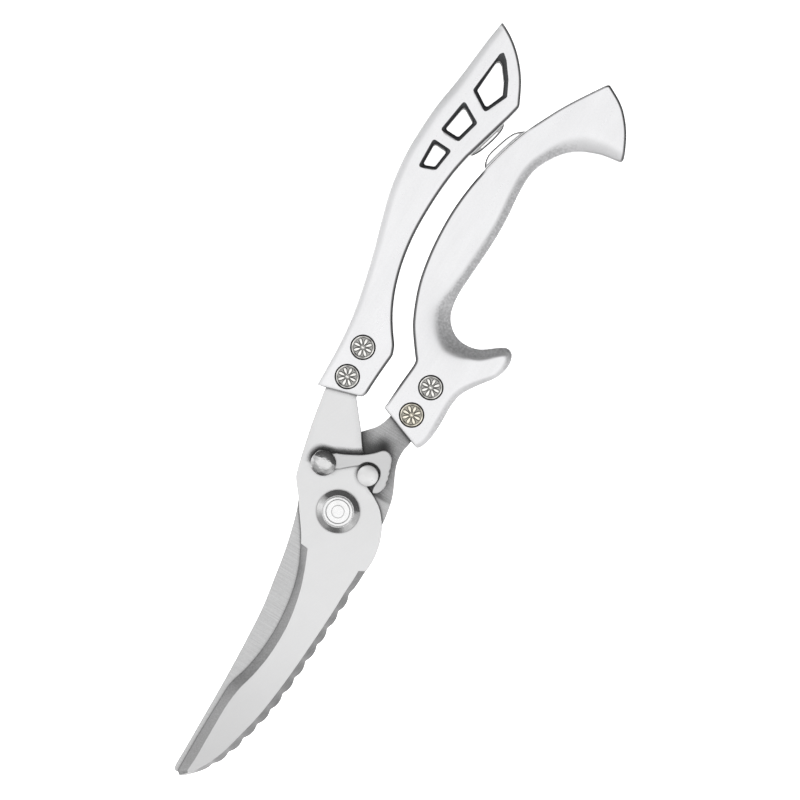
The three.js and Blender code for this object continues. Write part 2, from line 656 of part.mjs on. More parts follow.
function bumperStem({ stem, into }, clearance) {
  const radius = BUMPER_STEM_RADIUS + clearance;
  const length = BUMPER_STEM_DEPTH + clearance + 1;
  const geometry = new THREE.CylinderGeometry(radius, radius, length, 16);
  geometry.translate(0, length / 2 - 1, 0);
  geometry.rotateZ(into - Math.PI / 2);
  geometry.translate(stem[0], stem[1], HANDLE_THICKNESS / 2);
  return solid(geometry);
}

function bumper(shape, handleOutline) {
  const middle = HANDLE_THICKNESS / 2;
  const outline = trace(shape.start, shape.crest);
  if (THREE.ShapeUtils.isClockWise(outline)) outline.reverse();
  const pad = plate(outline, middle - BUMPER_WIDTH / 2, middle + BUMPER_WIDTH / 2);
  const handle = plate(inset(handleOutline, -SLOT_CLEARANCE), 0, HANDLE_THICKNESS);
  return pad.subtract(handle).add(bumperStem(shape, 0));
}

// ---------------------------------------------------------------- assembly

const steel = { color: 0xdcdcdc, roughness: 0.35, metalness: 1 };
const polished = { color: 0xf2f2f2, roughness: 0.12, metalness: 1 };
const castAluminium = { color: 0xe8e9ec, roughness: 0.45, metalness: 0.85 };
const antiqueNickel = { color: 0x9c968a, roughness: 0.4, metalness: 1 };
const darkSpring = { color: 0x6d6d70, roughness: 0.4, metalness: 1 };
const bronze = { color: 0xb08a55, roughness: 0.4, metalness: 1 };
const softWhite = { color: 0xf2f2f0, roughness: 0.6, metalness: 0 };

const shears = new THREE.Group();

function addPart(name, shape, finish) {
  const mesh = new THREE.Mesh(geometryOf(shape), new THREE.MeshStandardMaterial(finish));
  mesh.name = name;
  shears.add(mesh);
}

addPart("front_blade", frontBlade(), steel);
addPart("front_handle", frontHandle(), castAluminium);
addPart("front_bumper", bumper(FRONT_BUMPER, FRONT_HANDLE_OUTLINE), softWhite);
addPart("pivot_bolt", pivotBolt(), polished);
addPart("pivot_collar", pivotCollar(), polished);
addPart("pivot_nut", pivotNut(), steel);
addPart("pivot_washer", pivotWasher(), steel);
addPart("latch_rivet", latchRivet(), polished);
addPart("latch_washer", latchWasher(), steel);
addPart("safety_latch", safetyLatch(), steel);
addPart("rear_blade", rearBlade(), steel);
addPart("rear_handle", rearHandle(), castAluminium);
addPart("rear_bumper", bumper(REAR_BUMPER, REAR_HANDLE_OUTLINE), softWhite);
addPart("latch_stud", latchStud(), steel);
addPart("pivot_bush", pivotBush(), bronze);
addPart("torsion_spring", torsionSpring(), darkSpring);
for (const [name, spot] of Object.entries(RIVETS)) {
  addPart(name, rivet(spot), antiqueNickel);
  addPart(name.replace("rivet", "rivet_cap"), rivetCap(spot), steel);
}

export default shears;
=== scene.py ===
import math

import bpy
import numpy as np
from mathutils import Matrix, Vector
from mathutils.geometry import delaunay_2d_cdt


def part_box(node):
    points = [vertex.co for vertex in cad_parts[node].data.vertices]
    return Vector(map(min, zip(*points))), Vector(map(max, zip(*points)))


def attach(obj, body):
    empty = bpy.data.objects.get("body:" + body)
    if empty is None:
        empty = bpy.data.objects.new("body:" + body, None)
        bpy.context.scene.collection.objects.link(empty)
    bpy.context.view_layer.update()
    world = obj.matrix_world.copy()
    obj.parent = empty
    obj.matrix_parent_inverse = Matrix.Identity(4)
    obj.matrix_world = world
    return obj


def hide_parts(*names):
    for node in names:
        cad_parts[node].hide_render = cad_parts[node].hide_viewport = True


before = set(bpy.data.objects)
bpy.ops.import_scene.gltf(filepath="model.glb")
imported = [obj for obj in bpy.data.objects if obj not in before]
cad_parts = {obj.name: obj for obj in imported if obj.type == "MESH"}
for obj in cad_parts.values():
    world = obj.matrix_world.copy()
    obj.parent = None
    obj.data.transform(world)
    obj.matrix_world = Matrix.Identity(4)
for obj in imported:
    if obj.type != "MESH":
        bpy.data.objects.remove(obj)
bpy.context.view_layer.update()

# Shapes are drawn in millimetres in the part's frame and stored in metres.
MM = 0.001
HANDLE_TOP = 12.0
MIDDLE = HANDLE_TOP / 2
HANDLE_RIM_LEVEL = 10.5
FRONT_BLADE_LEVELS = (6.1, 9.1)
REAR_BLADE_LEVELS = (2.9, 5.9)
LATCH_LEVELS = (9.4, 10.9)
BUMPER_LEVELS = (3.5, 8.5)
RIVET_RADIUS = 3.95
RECESS_RADIUS = 4.1
RECESS_FLOOR = 11.05
RELIEF = 0.34
LATCH_PIVOT = (-11.4, 11.5)
STUD = (3.05, 14.6)
RIVETS = {
    "front_rivet_lower": (-17.6, 39.5),
    "front_rivet_upper": (-17.6, 50.1),
    "rear_rivet_lower": (6.3, 38.3),
    "rear_rivet_upper": (7.6, 48.9),
}
WINDOWS = [
    [(-25.2, 139.2), (-18.4, 134.6), (-14.4, 142.3), (-16.7, 147.5), (-20.1, 152.6), (-22.1, 154.5),
     (-23.0, 153.4)],
    [(-28.4, 123.1), (-21.4, 122.4), (-18.8, 130.5), (-26.0, 135.0)],
    [(-29.2, 109.2), (-23.5, 111.1), (-22.0, 118.9), (-29.0, 119.6)],
]
WINDOW_HOLES = [
    [(-24.0, 139.9), (-18.8, 136.2), (-15.9, 142.3), (-17.6, 146.3), (-20.6, 150.7), (-21.9, 151.6),
     (-22.8, 150.7)],
    [(-27.2, 124.1), (-22.2, 123.7), (-20.2, 130.2), (-25.2, 133.5)],
    [(-28.2, 110.6), (-24.4, 111.9), (-23.3, 118.1), (-28.0, 118.6)],
]


# ---- outlines


def cad_points(node):
    """The corner points of a CAD node in millimetres and its faces as point numbers."""
    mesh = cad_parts[node].data
    numbers = {}
    ids = []
    for vertex in mesh.vertices:
        key = tuple(round(c / MM, 3) for c in vertex.co)
        ids.append(numbers.setdefault(key, len(numbers)))
    faces = [tuple(ids[i] for i in p.vertices) for p in mesh.polygons]
    return np.array(list(numbers)), faces


def signed_area(loop):
    x, y = loop[:, 0], loop[:, 1]
    return 0.5 * float(np.sum(x * np.roll(y, -1) - y * np.roll(x, -1)))


def rim(node, level):
    """The longest closed line of a CAD node's edges at a level, anticlockwise."""
    points, faces = cad_points(node)
    at_level = np.abs(points[:, 2] - level) < 0.01
    uses = {}
    for face in faces:
        flat = all(at_level[i] for i in face)
        for a, b in zip(face, face[1:] + face[:1]):
            if at_level[a] and at_level[b]:
                uses.setdefault(frozenset((a, b)), []).append(flat)
    neighbours = {}
    for edge, flats in uses.items():
        if not all(flats):
            a, b = sorted(edge)
            neighbours.setdefault(a, []).append(b)
            neighbours.setdefault(b, []).append(a)
    best, seen = [], set()
    for start in sorted(neighbours):
        loop, current = [], start
        while current is not None:
            seen.add(current)
            loop.append(current)
            current = next((n for n in neighbours[current] if n not in seen), None)
        if len(loop) > len(best):
            best = loop
    loop = points[best][:, :2]
    return loop if signed_area(loop) > 0 else loop[::-1]


def directions(loop):
    ahead = np.roll(loop, -1, 0) - loop
    lengths = np.linalg.norm(ahead, axis=1)
    return ahead / lengths[:, None], lengths


def corners_of(loop, degrees):
    ahead, _ = directions(loop)
    cosine = np.sum(ahead * np.roll(ahead, 1, 0), 1)
    return cosine < math.cos(math.radians(degrees))


def hold_straights(loops, longest=9.0, end=2.0):
    """Extra points near the ends of long stretches, so that a curve through them stays straight."""
    made = [[] for _ in loops]
    count = len(loops[0])
    for i in range(count):
        length = np.linalg.norm(loops[0][(i + 1) % count] - loops[0][i])
        shares = [0.0] if length < longest else [0.0, end / length, 1 - end / length]
        for loop, out in zip(loops, made):
            a, b = loop[i], loop[(i + 1) % count]
            out += [a + (b - a) * share for share in shares]
    return [np.array(out) for out in made]


def curved(loops, step, corner_degrees=30.0):
    """Smooth curves through the points of loops that share a count, at the same shares. Corners stay."""
    loops = hold_straights(loops)
    count = len(loops[0])
    steps = []
    for i in range(count):
        longest = max(np.linalg.norm(l[(i + 1) % count] - l[i]) for l in loops)
        steps.append(max(1, int(math.ceil(longest / step))))
    out = []
    for loop in loops:
        sharp = corners_of(loop, corner_degrees)
        ahead, lengths = directions(loop)
        spans = np.sqrt(np.maximum(lengths, 1e-6))
        points = []
        for i in range(count):
            before, after, beyond = loop[i - 1], loop[(i + 1) % count], loop[(i + 2) % count]
            start, chord = loop[i], loop[(i + 1) % count] - loop[i]
            s0, s1, s2 = spans[i - 1], spans[i], spans[(i + 1) % count]
            leave = arrive = chord
            if not sharp[i]:
                leave = s1 * ((start - before) / s0 - (after - before) / (s0 + s1) + chord / s1)
            if not sharp[(i + 1) % count]:
                arrive = s1 * (chord / s1 - (beyond - start) / (s1 + s2) + (beyond - after) / s2)
            for k in range(steps[i]):
                t = k / steps[i]
                points.append(
                    start
                    + leave * (t**3 - 2 * t**2 + t)
                    + chord * (3 * t**2 - 2 * t**3)
                    + arrive * (t**3 - t**2)
                )
        out.append(np.array(points))
    return out


def even(loop, step):
    """A closed loop's points spaced evenly along it."""
    closed = np.vstack([loop, loop[:1]])
    along = np.concatenate([[0], np.cumsum(np.linalg.norm(np.diff(closed, axis=0), axis=1))])
    count = max(8, int(round(along[-1] / step)))
    places = np.arange(count) * along[-1] / count
    return np.column_stack([np.interp(places, along, closed[:, k]) for k in (0, 1)])


def eased(loop, rounds):
    """A loop with its corners rounded a little."""
    for _ in range(rounds):
        loop = (np.roll(loop, 1, 0) + 2 * loop + np.roll(loop, -1, 0)) / 4
    return loop


def inset(loop, distance):
    ahead, _ = directions(loop)
    normal = np.column_stack([-ahead[:, 1], ahead[:, 0]])
    normal = normal + np.roll(normal, 1, 0)
    normal /= np.linalg.norm(normal, axis=1)[:, None]
    return loop + normal * distance


def circle(centre, radius, count):
    turn = np.arange(count) * 2 * math.pi / count
    return np.column_stack([centre[0] + radius * np.cos(turn), centre[1] + radius * np.sin(turn)])


def rounded(corners, radius, steps=8):
    """A polygon with round corners, with steps + 1 points for each corner."""
    points = []
    count = len(corners)
    for i in range(count):
        corner = np.array(corners[i], float)
        sides = [np.array(corners[i - 1], float) - corner, np.array(corners[(i + 1) % count], float) - corner]
        lengths = [np.linalg.norm(s) for s in sides]
        units = [s / l for s, l in zip(sides, lengths)]
        half = math.acos(max(-1.0, min(1.0, float(units[0] @ units[1])))) / 2
        back = min(radius / math.tan(half), 0.45 * min(lengths))
        a, b = corner + units[0] * back, corner + units[1] * back
        for k in range(steps + 1):
            t = k / steps
            points.append(a * (1 - t) ** 2 + corner * 2 * t * (1 - t) + b * t**2)
    return np.array(points)


def inside(points, loops):
    """Whether each point is inside an odd number of the loops."""
    result = np.zeros(len(points), bool)
    for loop in loops:
        a, b = loop, np.roll(loop, -1, 0)
        x, y = points[:, 0][:, None], points[:, 1][:, None]
        crosses = (a[:, 1] > y) != (b[:, 1] > y)
        rise = np.where(b[:, 1] == a[:, 1], 1e-12, b[:, 1] - a[:, 1])
        at = a[:, 0] + (y - a[:, 1]) / rise * (b[:, 0] - a[:, 0])
        result ^= (np.sum(crosses & (x < at), axis=1) % 2).astype(bool)
    return result


def distances(points, loop):
    """Each point's distance to a loop."""
    out = np.empty(len(points))
    a = loop
    span = np.roll(loop, -1, 0) - a
    length2 = np.sum(span**2, 1)
    for first in range(0, len(points), 1500):
        p = points[first:first + 1500]
        away = p[:, None] - a
        share = np.clip(np.sum(away * span, 2) / length2, 0, 1)
        out[first:first + 1500] = np.min(np.linalg.norm(away - share[..., None] * span, axis=2), axis=1)
    return out


def spread(loops, step, offsets=()):
    """Points over the area inside loops[0] and outside the rest, in rows along each edge and then evenly."""
    edge = max(offsets) if offsets else 0.4 * step
    low, high = loops[0].min(0), loops[0].max(0)
    rows = []
    for j, y in enumerate(np.arange(low[1], high[1], step * 0.866)):
        x = np.arange(low[0] + (j % 2) * step / 2, high[0], step)
        rows.append(np.column_stack([x, np.full(len(x), y)]))
    grid = np.vstack(rows)
    grid = grid[inside(grid, loops)]
    clear = np.min([distances(grid, loop) for loop in loops], axis=0)
    kept = [grid[clear > edge + 0.45 * step]]
    for offset in offsets:
        for k, loop in enumerate(loops):
            row = inset(loop, offset if k == 0 else -offset)
            row = row[inside(row, loops)]
            if len(row):
                near = np.min([distances(row, other) for other in loops], axis=0)
                kept.append(row[near > 0.93 * offset])
    return np.vstack(kept)


def filled(loops, loose):
    """The area inside loops[0] and outside the rest: points, triangles and each loop's point numbers."""
    points = np.vstack([*loops, loose]) if len(loose) else np.vstack(loops)
    edges, first = [], 0
    for loop in loops:
        count = len(loop)
        edges += [(first + i, first + (i + 1) % count) for i in range(count)]
        first += count
    found = delaunay_2d_cdt([Vector(p) for p in points], edges, [], 0, 1e-6)
    made = np.array([tuple(v) for v in found[0]])
    number = {}
    for new, olds in enumerate(found[3]):
        for old in olds:
            number[old] = new
    triangles = np.array([tuple(f) for f in found[2]])
    triangles = triangles[inside(made[triangles].mean(1), loops)]
    a, b, c = (made[triangles[:, k]] for k in range(3))
    area = (b - a)[:, 0] * (c - a)[:, 1] - (b - a)[:, 1] * (c - a)[:, 0]
    triangles[area < 0] = triangles[area < 0][:, ::-1]
    rings, first = [], 0
    for loop in loops:
        rings.append([number[first + i] for i in range(len(loop))])
        first += len(loop)
    return made, triangles, rings


# ---- meshes


class Solid:
    """Collects a closed mesh's points and faces, in millimetres."""

    def __init__(self):
        self.points, self.faces, self.kinds = [], [], []
        self.creases = set()

    def add(self, points):
        first = len(self.points)
        self.points += [tuple(map(float, p)) for p in points]
        return list(range(first, len(self.points)))

    def face(self, ids, kind=0):
        self.faces.append(tuple(int(i) for i in ids))
        self.kinds.append(kind)

    def crease(self, ring):
        """Keeps the edge along a ring of point numbers crisp."""
        self.creases |= {frozenset(pair) for pair in zip(ring, ring[1:] + ring[:1])}

    def strip(self, low, high, kind=0, kinds=None):
        """Faces between two rings of point numbers. Anticlockwise rings, low to high, face outwards."""
        count = len(low)
        for i in range(count):
            j = (i + 1) % count
            self.face((low[i], low[j], high[j], high[i]), kinds[i] if kinds is not None else kind)

    def wall(self, low, high, between, kind=0):
        """Faces from one ring of point numbers to another, by way of new rings from loops and levels."""
        for loop, level in between:
            following = self.ring(loop, level)
            self.strip(low, following, kind)
            low = following
        self.strip(low, high, kind)

    def cap(self, ring, centre, kind=0, up=True):
        middle = self.add([centre])[0]
        for a, b in zip(ring, ring[1:] + ring[:1]):
            self.face((a, b, middle) if up else (b, a, middle), kind)

    def ring(self, loop, level):
        levels = np.broadcast_to(level, len(loop))
        return self.add(np.column_stack([loop, levels]))

    def sheet(self, points, triangles, levels, up=True):
        ids = self.add(np.column_stack([points, levels]))
        for a, b, c in triangles:
            self.face((ids[a], ids[b], ids[c]) if up else (ids[c], ids[b], ids[a]))
        return ids


def piece(name, shape, body, nodes, materials, sharp=38.0, attributes=None):
    """A mesh object for the collected solid, which stands for CAD nodes and moves with a body."""
    points = np.array(shape.points)
    low = np.min([np.array(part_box(n)[0]) for n in nodes], axis=0) / MM
    high = np.max([np.array(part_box(n)[1]) for n in nodes], axis=0) / MM
    points = np.clip(points, low + 0.005, high - 0.005)
    mesh = bpy.data.meshes.new(name)
    mesh.from_pydata((points * MM).tolist(), [], shape.faces)
    for finish in materials:
        mesh.materials.append(finish)
    mesh.polygons.foreach_set("material_index", shape.kinds)
    mesh.polygons.foreach_set("use_smooth", [True] * len(shape.faces))
    for key, values in (attributes or {}).items():
        layer = mesh.attributes.new(key, "FLOAT", "POINT")
        layer.data.foreach_set("value", np.asarray(values, np.float32))
    mesh.validate()
    mesh.update()
    mesh.set_sharp_from_angle(angle=math.radians(sharp))
    for edge in mesh.edges:
        if frozenset(edge.vertices) in shape.creases:
            edge.use_edge_sharp = True
    made = bpy.data.objects.new(name, mesh)
    bpy.context.scene.collection.objects.link(made)
    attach(made, body)
    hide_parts(*nodes)
    return made


def turned(centre, profile, count=96):
    """A turned solid from (radius, level) places, from the axis below, round the outside, to the axis above."""
    shape = Solid()
    rings = [shape.ring(circle(centre, radius, count), level) for radius, level in profile[1:-1]]
    for low, high in zip(rings, rings[1:]):
        shape.strip(low, high)
    shape.cap(rings[0], (*centre, profile[0][1]), up=False)
    shape.cap(rings[-1], (*centre, profile[-1][1]))
    return shape


def turned_ring(centre, profile, count):
    """A ring from a closed profile of (radius, level)."""
    shape = Solid()
    rings = [shape.ring(circle(centre, radius, count), level) for radius, level in profile]
    for low, high in zip(rings, rings[1:] + rings[:1]):
        shape.strip(low, high)
    return shape


def washer(name, node, centre, inner, outer, bottom, top):
    ease = 0.05
    profile = [
        (inner, bottom + ease), (inner + ease, bottom), (outer - ease, bottom), (outer, bottom + ease),
        (outer, top - ease), (outer - ease, top), (inner + ease, top), (inner, top - ease),
    ]
    return piece(name, turned_ring(centre, profile, 72), "front_half", [node], [HARDWARE])


# ---- materials


class Nodes:
    """Short ways to add nodes to a node tree."""

    def __init__(self, tree):
        self.tree = tree

    def node(self, kind, **settings):
        made = self.tree.nodes.new(kind)
        for key, value in settings.items():
            setattr(made, key, value)
        return made

    def link(self, source, target):
        self.tree.links.new(source, target)

    def math(self, operation, a, b):
        made = self.node("ShaderNodeMath", operation=operation)
        for socket, value in zip(made.inputs, (a, b)):
            if isinstance(value, (int, float)):
                socket.default_value = value
            else:
                self.link(value, socket)
        return made.outputs[0]

    def mapped(self, value, low, high, to_low, to_high, smooth=False):
        made = self.node("ShaderNodeMapRange")
        made.interpolation_type = "SMOOTHSTEP" if smooth else "LINEAR"
        self.link(value, made.inputs["Value"])
        for key, number in zip(("From Min", "From Max", "To Min", "To Max"), (low, high, to_low, to_high)):
            made.inputs[key].default_value = number
        return made.outputs["Result"]


class Finish(Nodes):
    """A procedural material."""

    def __init__(self, name, color, metallic, roughness, **sockets):
        self.material = bpy.data.materials.new(name)
        self.material.use_nodes = True
        super().__init__(self.material.node_tree)
        self.shader = self.tree.nodes["Principled BSDF"]
        self.color = (*color, 1.0) if isinstance(color, tuple) else (color, color, color, 1.0)
        self.shader.inputs["Base Color"].default_value = self.color
        self.shader.inputs["Metallic"].default_value = metallic
        self.shader.inputs["Roughness"].default_value = roughness
        for key, value in sockets.items():
            self.shader.inputs[key.replace("_", " ")].default_value = value
        self.place = self.node("ShaderNodeTexCoord").outputs["Object"]
        self.shade = self.height = None

    def noise(self, size, detail=3.0, turn=0.0, stretch=(1.0, 1.0, 1.0)):
        """Noise with features of a size in millimetres, stretched along the turned axes."""
        turned_place = self.node("ShaderNodeMapping")
        turned_place.inputs["Rotation"].default_value = (0.0, 0.0, -math.radians(turn))
        self.link(self.place, turned_place.inputs["Vector"])
        scaled = self.node("ShaderNodeMapping")
        scaled.inputs["Scale"].default_value = tuple(1.0 / (size * MM * s) for s in stretch)
        self.link(turned_place.outputs["Vector"], scaled.inputs["Vector"])
        made = self.node("ShaderNodeTexNoise")
        made.inputs["Scale"].default_value = 1.0
        made.inputs["Detail"].default_value = detail
        made.inputs["Roughness"].default_value = 0.55
        self.link(scaled.outputs["Vector"], made.inputs["Vector"])
        return made.outputs["Fac"]

    def attribute(self, name):
        made = self.node("ShaderNodeAttribute", attribute_name=name)
        return made.outputs["Fac"]

    def tone(self, factor):
        """Multiplies the colour by a factor."""
        self.shade = factor if self.shade is None else self.math("MULTIPLY", self.shade, factor)

    def vary(self, value, darkest, brightest=1.0):
        """Multiplies the colour by a noise value brought to a range."""
        self.tone(self.mapped(value, 0.3, 0.7, darkest, brightest))

    def along(self):
        """The place along the shears, in metres."""
        split = self.node("ShaderNodeSeparateXYZ")
        self.link(self.place, split.inputs[0])
        return split.outputs["Y"]

    def bump(self, height, depth):
        """Adds a height of 0 to 1 as relief, depth in millimetres."""
        made = self.node("ShaderNodeBump")
        made.inputs["Strength"].default_value = 1.0
        made.inputs["Distance"].default_value = depth * MM
        self.link(height, made.inputs["Height"])
        if self.height is not None:
            self.link(self.height, made.inputs["Normal"])
        self.height = made.outputs["Normal"]

    def rough(self, value, low, high, more=None):
        roughness = self.mapped(value, 0.3, 0.7, low, high)
        if more is not None:
            roughness = self.math("ADD", roughness, more)
        self.link(roughness, self.shader.inputs["Roughness"])

    def done(self):
        if self.shade is not None:
            mixed = self.node("ShaderNodeMix", data_type="RGBA", blend_type="MULTIPLY")
            mixed.inputs["Factor"].default_value = 1.0
            mixed.inputs["A"].default_value = self.color
            self.link(self.shade, mixed.inputs["B"])
            self.link(mixed.outputs["Result"], self.shader.inputs["Base Color"])
        if self.height is not None:
            self.link(self.height, self.shader.inputs["Normal"])
        return self.material

    def painted_soft_shadow(self, reach, lowest, low, high, start=None, lean=(0.5, -0.8)):
        """Painted shade from occlusion where a neighbour stands close on the leaning side, only past a start
        along the shears.
        """
        made = self.node("ShaderNodeAmbientOcclusion", samples=8)
        made.inputs["Distance"].default_value = reach * MM
        leaning = self.node("ShaderNodeVectorMath", operation="ADD")
        self.link(self.node("ShaderNodeNewGeometry").outputs["Normal"], leaning.inputs[0])
        leaning.inputs[1].default_value = (lean[0], lean[1], 0.0)
        unit = self.node("ShaderNodeVectorMath", operation="NORMALIZE")
        self.link(leaning.outputs[0], unit.inputs[0])
        self.link(unit.outputs[0], made.inputs["Normal"])
        shade = self.mapped(made.outputs["AO"], low, high, lowest, 1.0)
        if start is not None:
            below = self.mapped(self.along(), start * MM, (start + 1.5) * MM, 1.0, 0.0, smooth=True)
            shade = self.math("MAXIMUM", shade, below)
        self.tone(shade)


def cast_finish():
    """Satin cast metal: a fine pebbled grain, soft clouds and lengthwise rubbing, with painted shade on its
    tight edges and side walls.
    """
    f = Finish("cast_satin", (0.575, 0.575, 0.583), 0.85, 0.30)
    grain = f.noise(0.45, 4.0)
    clouds = f.noise(14.0, 2.0, stretch=(0.5, 1.6, 1.0))
    rubbed = f.noise(1.6, 3.0, turn=-4.0, stretch=(1.0, 14.0, 1.0))
    f.vary(grain, 0.93)
    f.vary(clouds, 0.95)
    f.vary(rubbed, 0.94)
    coarse = f.noise(0.8, 2.0)
    band = f.attribute("band")
    # Painted shade: dark along the tight edges and down the side walls.
    f.tone(f.mapped(f.attribute("wall"), 0.0, 1.0, 1.0, 0.19, smooth=True))
    f.tone(f.mapped(band, 0.0, 1.0, 1.0, 1.04, smooth=True))
    f.tone(f.mapped(f.math("MULTIPLY", band, coarse), 0.25, 0.6, 1.0, 0.70))
    f.rough(f.math("MULTIPLY", f.math("ADD", grain, rubbed), 0.5), 0.25, 0.38, f.math("MULTIPLY", band, 0.24))
    f.bump(grain, 0.008)
    return f.done()


def dark_rim_and_recess_shade_finish():
    """The dark rims of the windows, also used as painted shade on the walls and floors of the rivet recesses.
    """
    f = Finish("window_rim_and_recess_shade", (0.035, 0.036, 0.038), 0.35, 0.42)
    grain = f.noise(0.5, 4.0)
    f.vary(grain, 0.7, 1.25)
    f.rough(grain, 0.34, 0.52)
    f.bump(grain, 0.012)
    return f.done()


def steel_finish(name, tone, turn, line=0.22, depth=0.004, roughness=0.34, strength=0.05, shade_along=None,
                 shadow=None, contact_shade=None, painted_shadow_spot=None):
    """Ground steel with fine parallel lines. Painted shade: along the shears, by occlusion, and a fixed dark
    spot.
    """
    f = Finish(name, (tone, tone, tone * 1.005), 0.62, roughness)
    lines = f.noise(line, 1.5, turn=turn, stretch=(40.0, 1.0, 1.0))
    wide = f.noise(line * 5, 2.0, turn=turn, stretch=(30.0, 1.0, 1.0))
    grain = f.noise(0.4, 2.0)
    clouds = f.noise(16.0, 2.0)
    f.vary(lines, 1 - strength)
    f.vary(wide, 1 - 0.15 * strength)
    f.vary(grain, 1 - 0.6 * strength)
    f.vary(clouds, 0.975)
    if shade_along:
        f.tone(f.mapped(f.along(), shade_along[0] * MM, shade_along[1] * MM, shade_along[2], 1.0, smooth=True))
    if shadow:
        f.painted_soft_shadow(*shadow)
    if contact_shade:
        f.painted_soft_shadow(*contact_shade, lean=(0.0, 0.0))
    if painted_shadow_spot:
        place, radius, darkest = painted_shadow_spot
        away = f.node("ShaderNodeVectorMath", operation="DISTANCE")
        f.link(f.place, away.inputs[0])
        away.inputs[1].default_value = tuple(c * MM for c in place)
        f.tone(f.mapped(away.outputs["Value"], 0.0, radius * MM, darkest, 1.0, smooth=True))
    f.rough(lines, roughness - 0.05, roughness + 0.07)
    f.bump(lines, depth)
    return f.done()


def polished_finish(name, tone, roughness, metallic=0.95, dents=0.0):
    """Smooth bright metal, a little smeared, with shallow dents of a depth in millimetres."""
    f = Finish(name, (tone, tone, tone), metallic, roughness)
    fine = f.noise(0.3, 3.0)
    smear = f.noise(3.0, 2.0)
    f.vary(fine, 0.97)
    f.rough(smear, roughness * 0.8, roughness * 1.5)
    f.bump(fine, 0.0008)
    if dents:
        f.bump(f.noise(1.3, 2.0), dents)
    return f.done()


def rosette_finish(name, color):
    """Antique nickel: darkened where the relief is low, rubbed bright where it is high."""
    f = Finish(name, color, 0.85, 0.36)
    grain = f.noise(0.25, 3.0)
    f.tone(f.mapped(f.attribute("relief"), 0.0, 1.0, 0.0, 1.0))
    f.vary(grain, 0.85)
    f.rough(grain, 0.28, 0.46)
    f.bump(grain, 0.006)
    return f.done()


def rubber_glow_finish():
    """Milky soft rubber with a painted glow away from its edges, and painted shade that darkens its edges."""
    f = Finish("bumper_white_painted_glow", (0.80, 0.80, 0.80), 0.0, 0.55, Emission_Color=(1.0, 1.0, 1.0, 1.0))
    grain = f.noise(0.35, 3.0)
    wall = f.attribute("wall")
    f.vary(grain, 0.96)
    # Painted shade on the edges, and a painted glow that fades out towards them.
    f.tone(f.mapped(wall, 0.0, 1.0, 1.0, 0.05, smooth=True))
    f.link(f.mapped(wall, 0.0, 0.6, 0.40, 0.0, smooth=True), f.shader.inputs["Emission Strength"])
    f.rough(grain, 0.48, 0.62)
    f.bump(grain, 0.01)
    return f.done()


def plain_metal(name, color, roughness):
    f = Finish(name, color, 0.9, roughness)
    grain = f.noise(0.4, 3.0)
    smear = f.noise(4.0, 2.0)
    f.vary(smear, 0.9)
    f.rough(grain, roughness * 0.85, roughness * 1.2)
    f.bump(grain, 0.004)
    return f.done()


CAST = cast_finish()
DARK_RIM_AND_RECESS_SHADE = dark_rim_and_recess_shade_finish()
# Painted shade on the front blade: darker towards the tip, and darker by occlusion where neighbours stand
# close.
FRONT_STEEL = steel_finish("front_blade_face", 0.50, 62.0, strength=0.035, depth=0.0015,
                           shade_along=(-98.0, -25.0, 0.80), shadow=(2.5, 0.02, 0.66, 0.93, 9.0),
                           contact_shade=(0.7, 0.45, 0.5, 0.9))
# A painted shadow: the dark spot stands for the latch's shadow on the tang. It doesn't move when the blades
# open.
# Painted shade on the rear blade too: darker towards the tang, and darker by occlusion where neighbours stand
# close.
REAR_STEEL = steel_finish("rear_blade_face", 0.43, -4.0, line=0.42, strength=0.22, depth=0.004,
                          shade_along=(26.0, 8.0, 0.84), shadow=(9.0, 0.14, 0.58, 0.76, 9.0, (0.8, -1.3)),
                          contact_shade=(1.1, 0.15, 0.5, 0.93), painted_shadow_spot=((3.2, 25.3, 5.9), 4.6, 0.16))
BEVEL_STEEL = steel_finish("ground_bevel", 0.25, 8.0, line=0.40, strength=0.24, depth=0.004)
SCALER_STEEL = steel_finish("scaler_band", 0.185, 66.0, line=0.40, strength=0.30, depth=0.004)
SIDE_STEEL = steel_finish("blade_side", 0.42, 0.0, line=0.2, strength=0.08, depth=0.003)
LATCH_STEEL = steel_finish("latch_face", 0.42, 30.0, line=0.3, strength=0.05, depth=0.003, roughness=0.36)
HARDWARE = plain_metal("hardware_steel_finish", (0.42, 0.42, 0.43), 0.32)
STUD_STEEL = polished_finish("stud_face", 0.51, 0.34, metallic=0.6)
DOME_STEEL = polished_finish("latch_dome_finish", 0.41, 0.14, dents=0.15)
COLLAR_STEEL = polished_finish("pivot_collar_finish", 0.47, 0.14, dents=0.05)
HEAD_STEEL = polished_finish("pivot_head_face", 0.56, 0.24, metallic=0.75, dents=0.03)
ROSETTE = rosette_finish("rosette_antique", (0.80, 0.79, 0.76))
ROSETTE_WARM = rosette_finish("rosette_antique_warm", (0.82, 0.775, 0.66))
RUBBER_GLOW = rubber_glow_finish()
BRONZE = plain_metal("bush_bronze_finish", (0.48, 0.30, 0.14), 0.38)
SPRING = plain_metal("spring_steel_finish", (0.22, 0.22, 0.235), 0.34)


# ---- handles


def edge_shape(outline, sides):
    """The six values of the edge's shape at each outline point, between the places that sides names."""
    ahead, lengths = directions(outline)
    along = np.concatenate([[0], np.cumsum(lengths)[:-1]])
    total = float(lengths.sum())
    stations = []
    for (x, y), values in sides:
        nearest = int(np.argmin(np.sum((outline - (x, y)) ** 2, 1)))
        stations.append((along[nearest], (*values, *USUAL_EDGE[len(values) - 4:])))
    stations.sort(key=lambda s: s[0])
    places = [s[0] for s in stations]
    places = [places[-1] - total, *places, places[0] + total]
    values = [stations[-1][1], *[s[1] for s in stations], stations[0][1]]
    return np.column_stack([np.interp(along, places, [v[k] for v in values]) for k in range(6)])


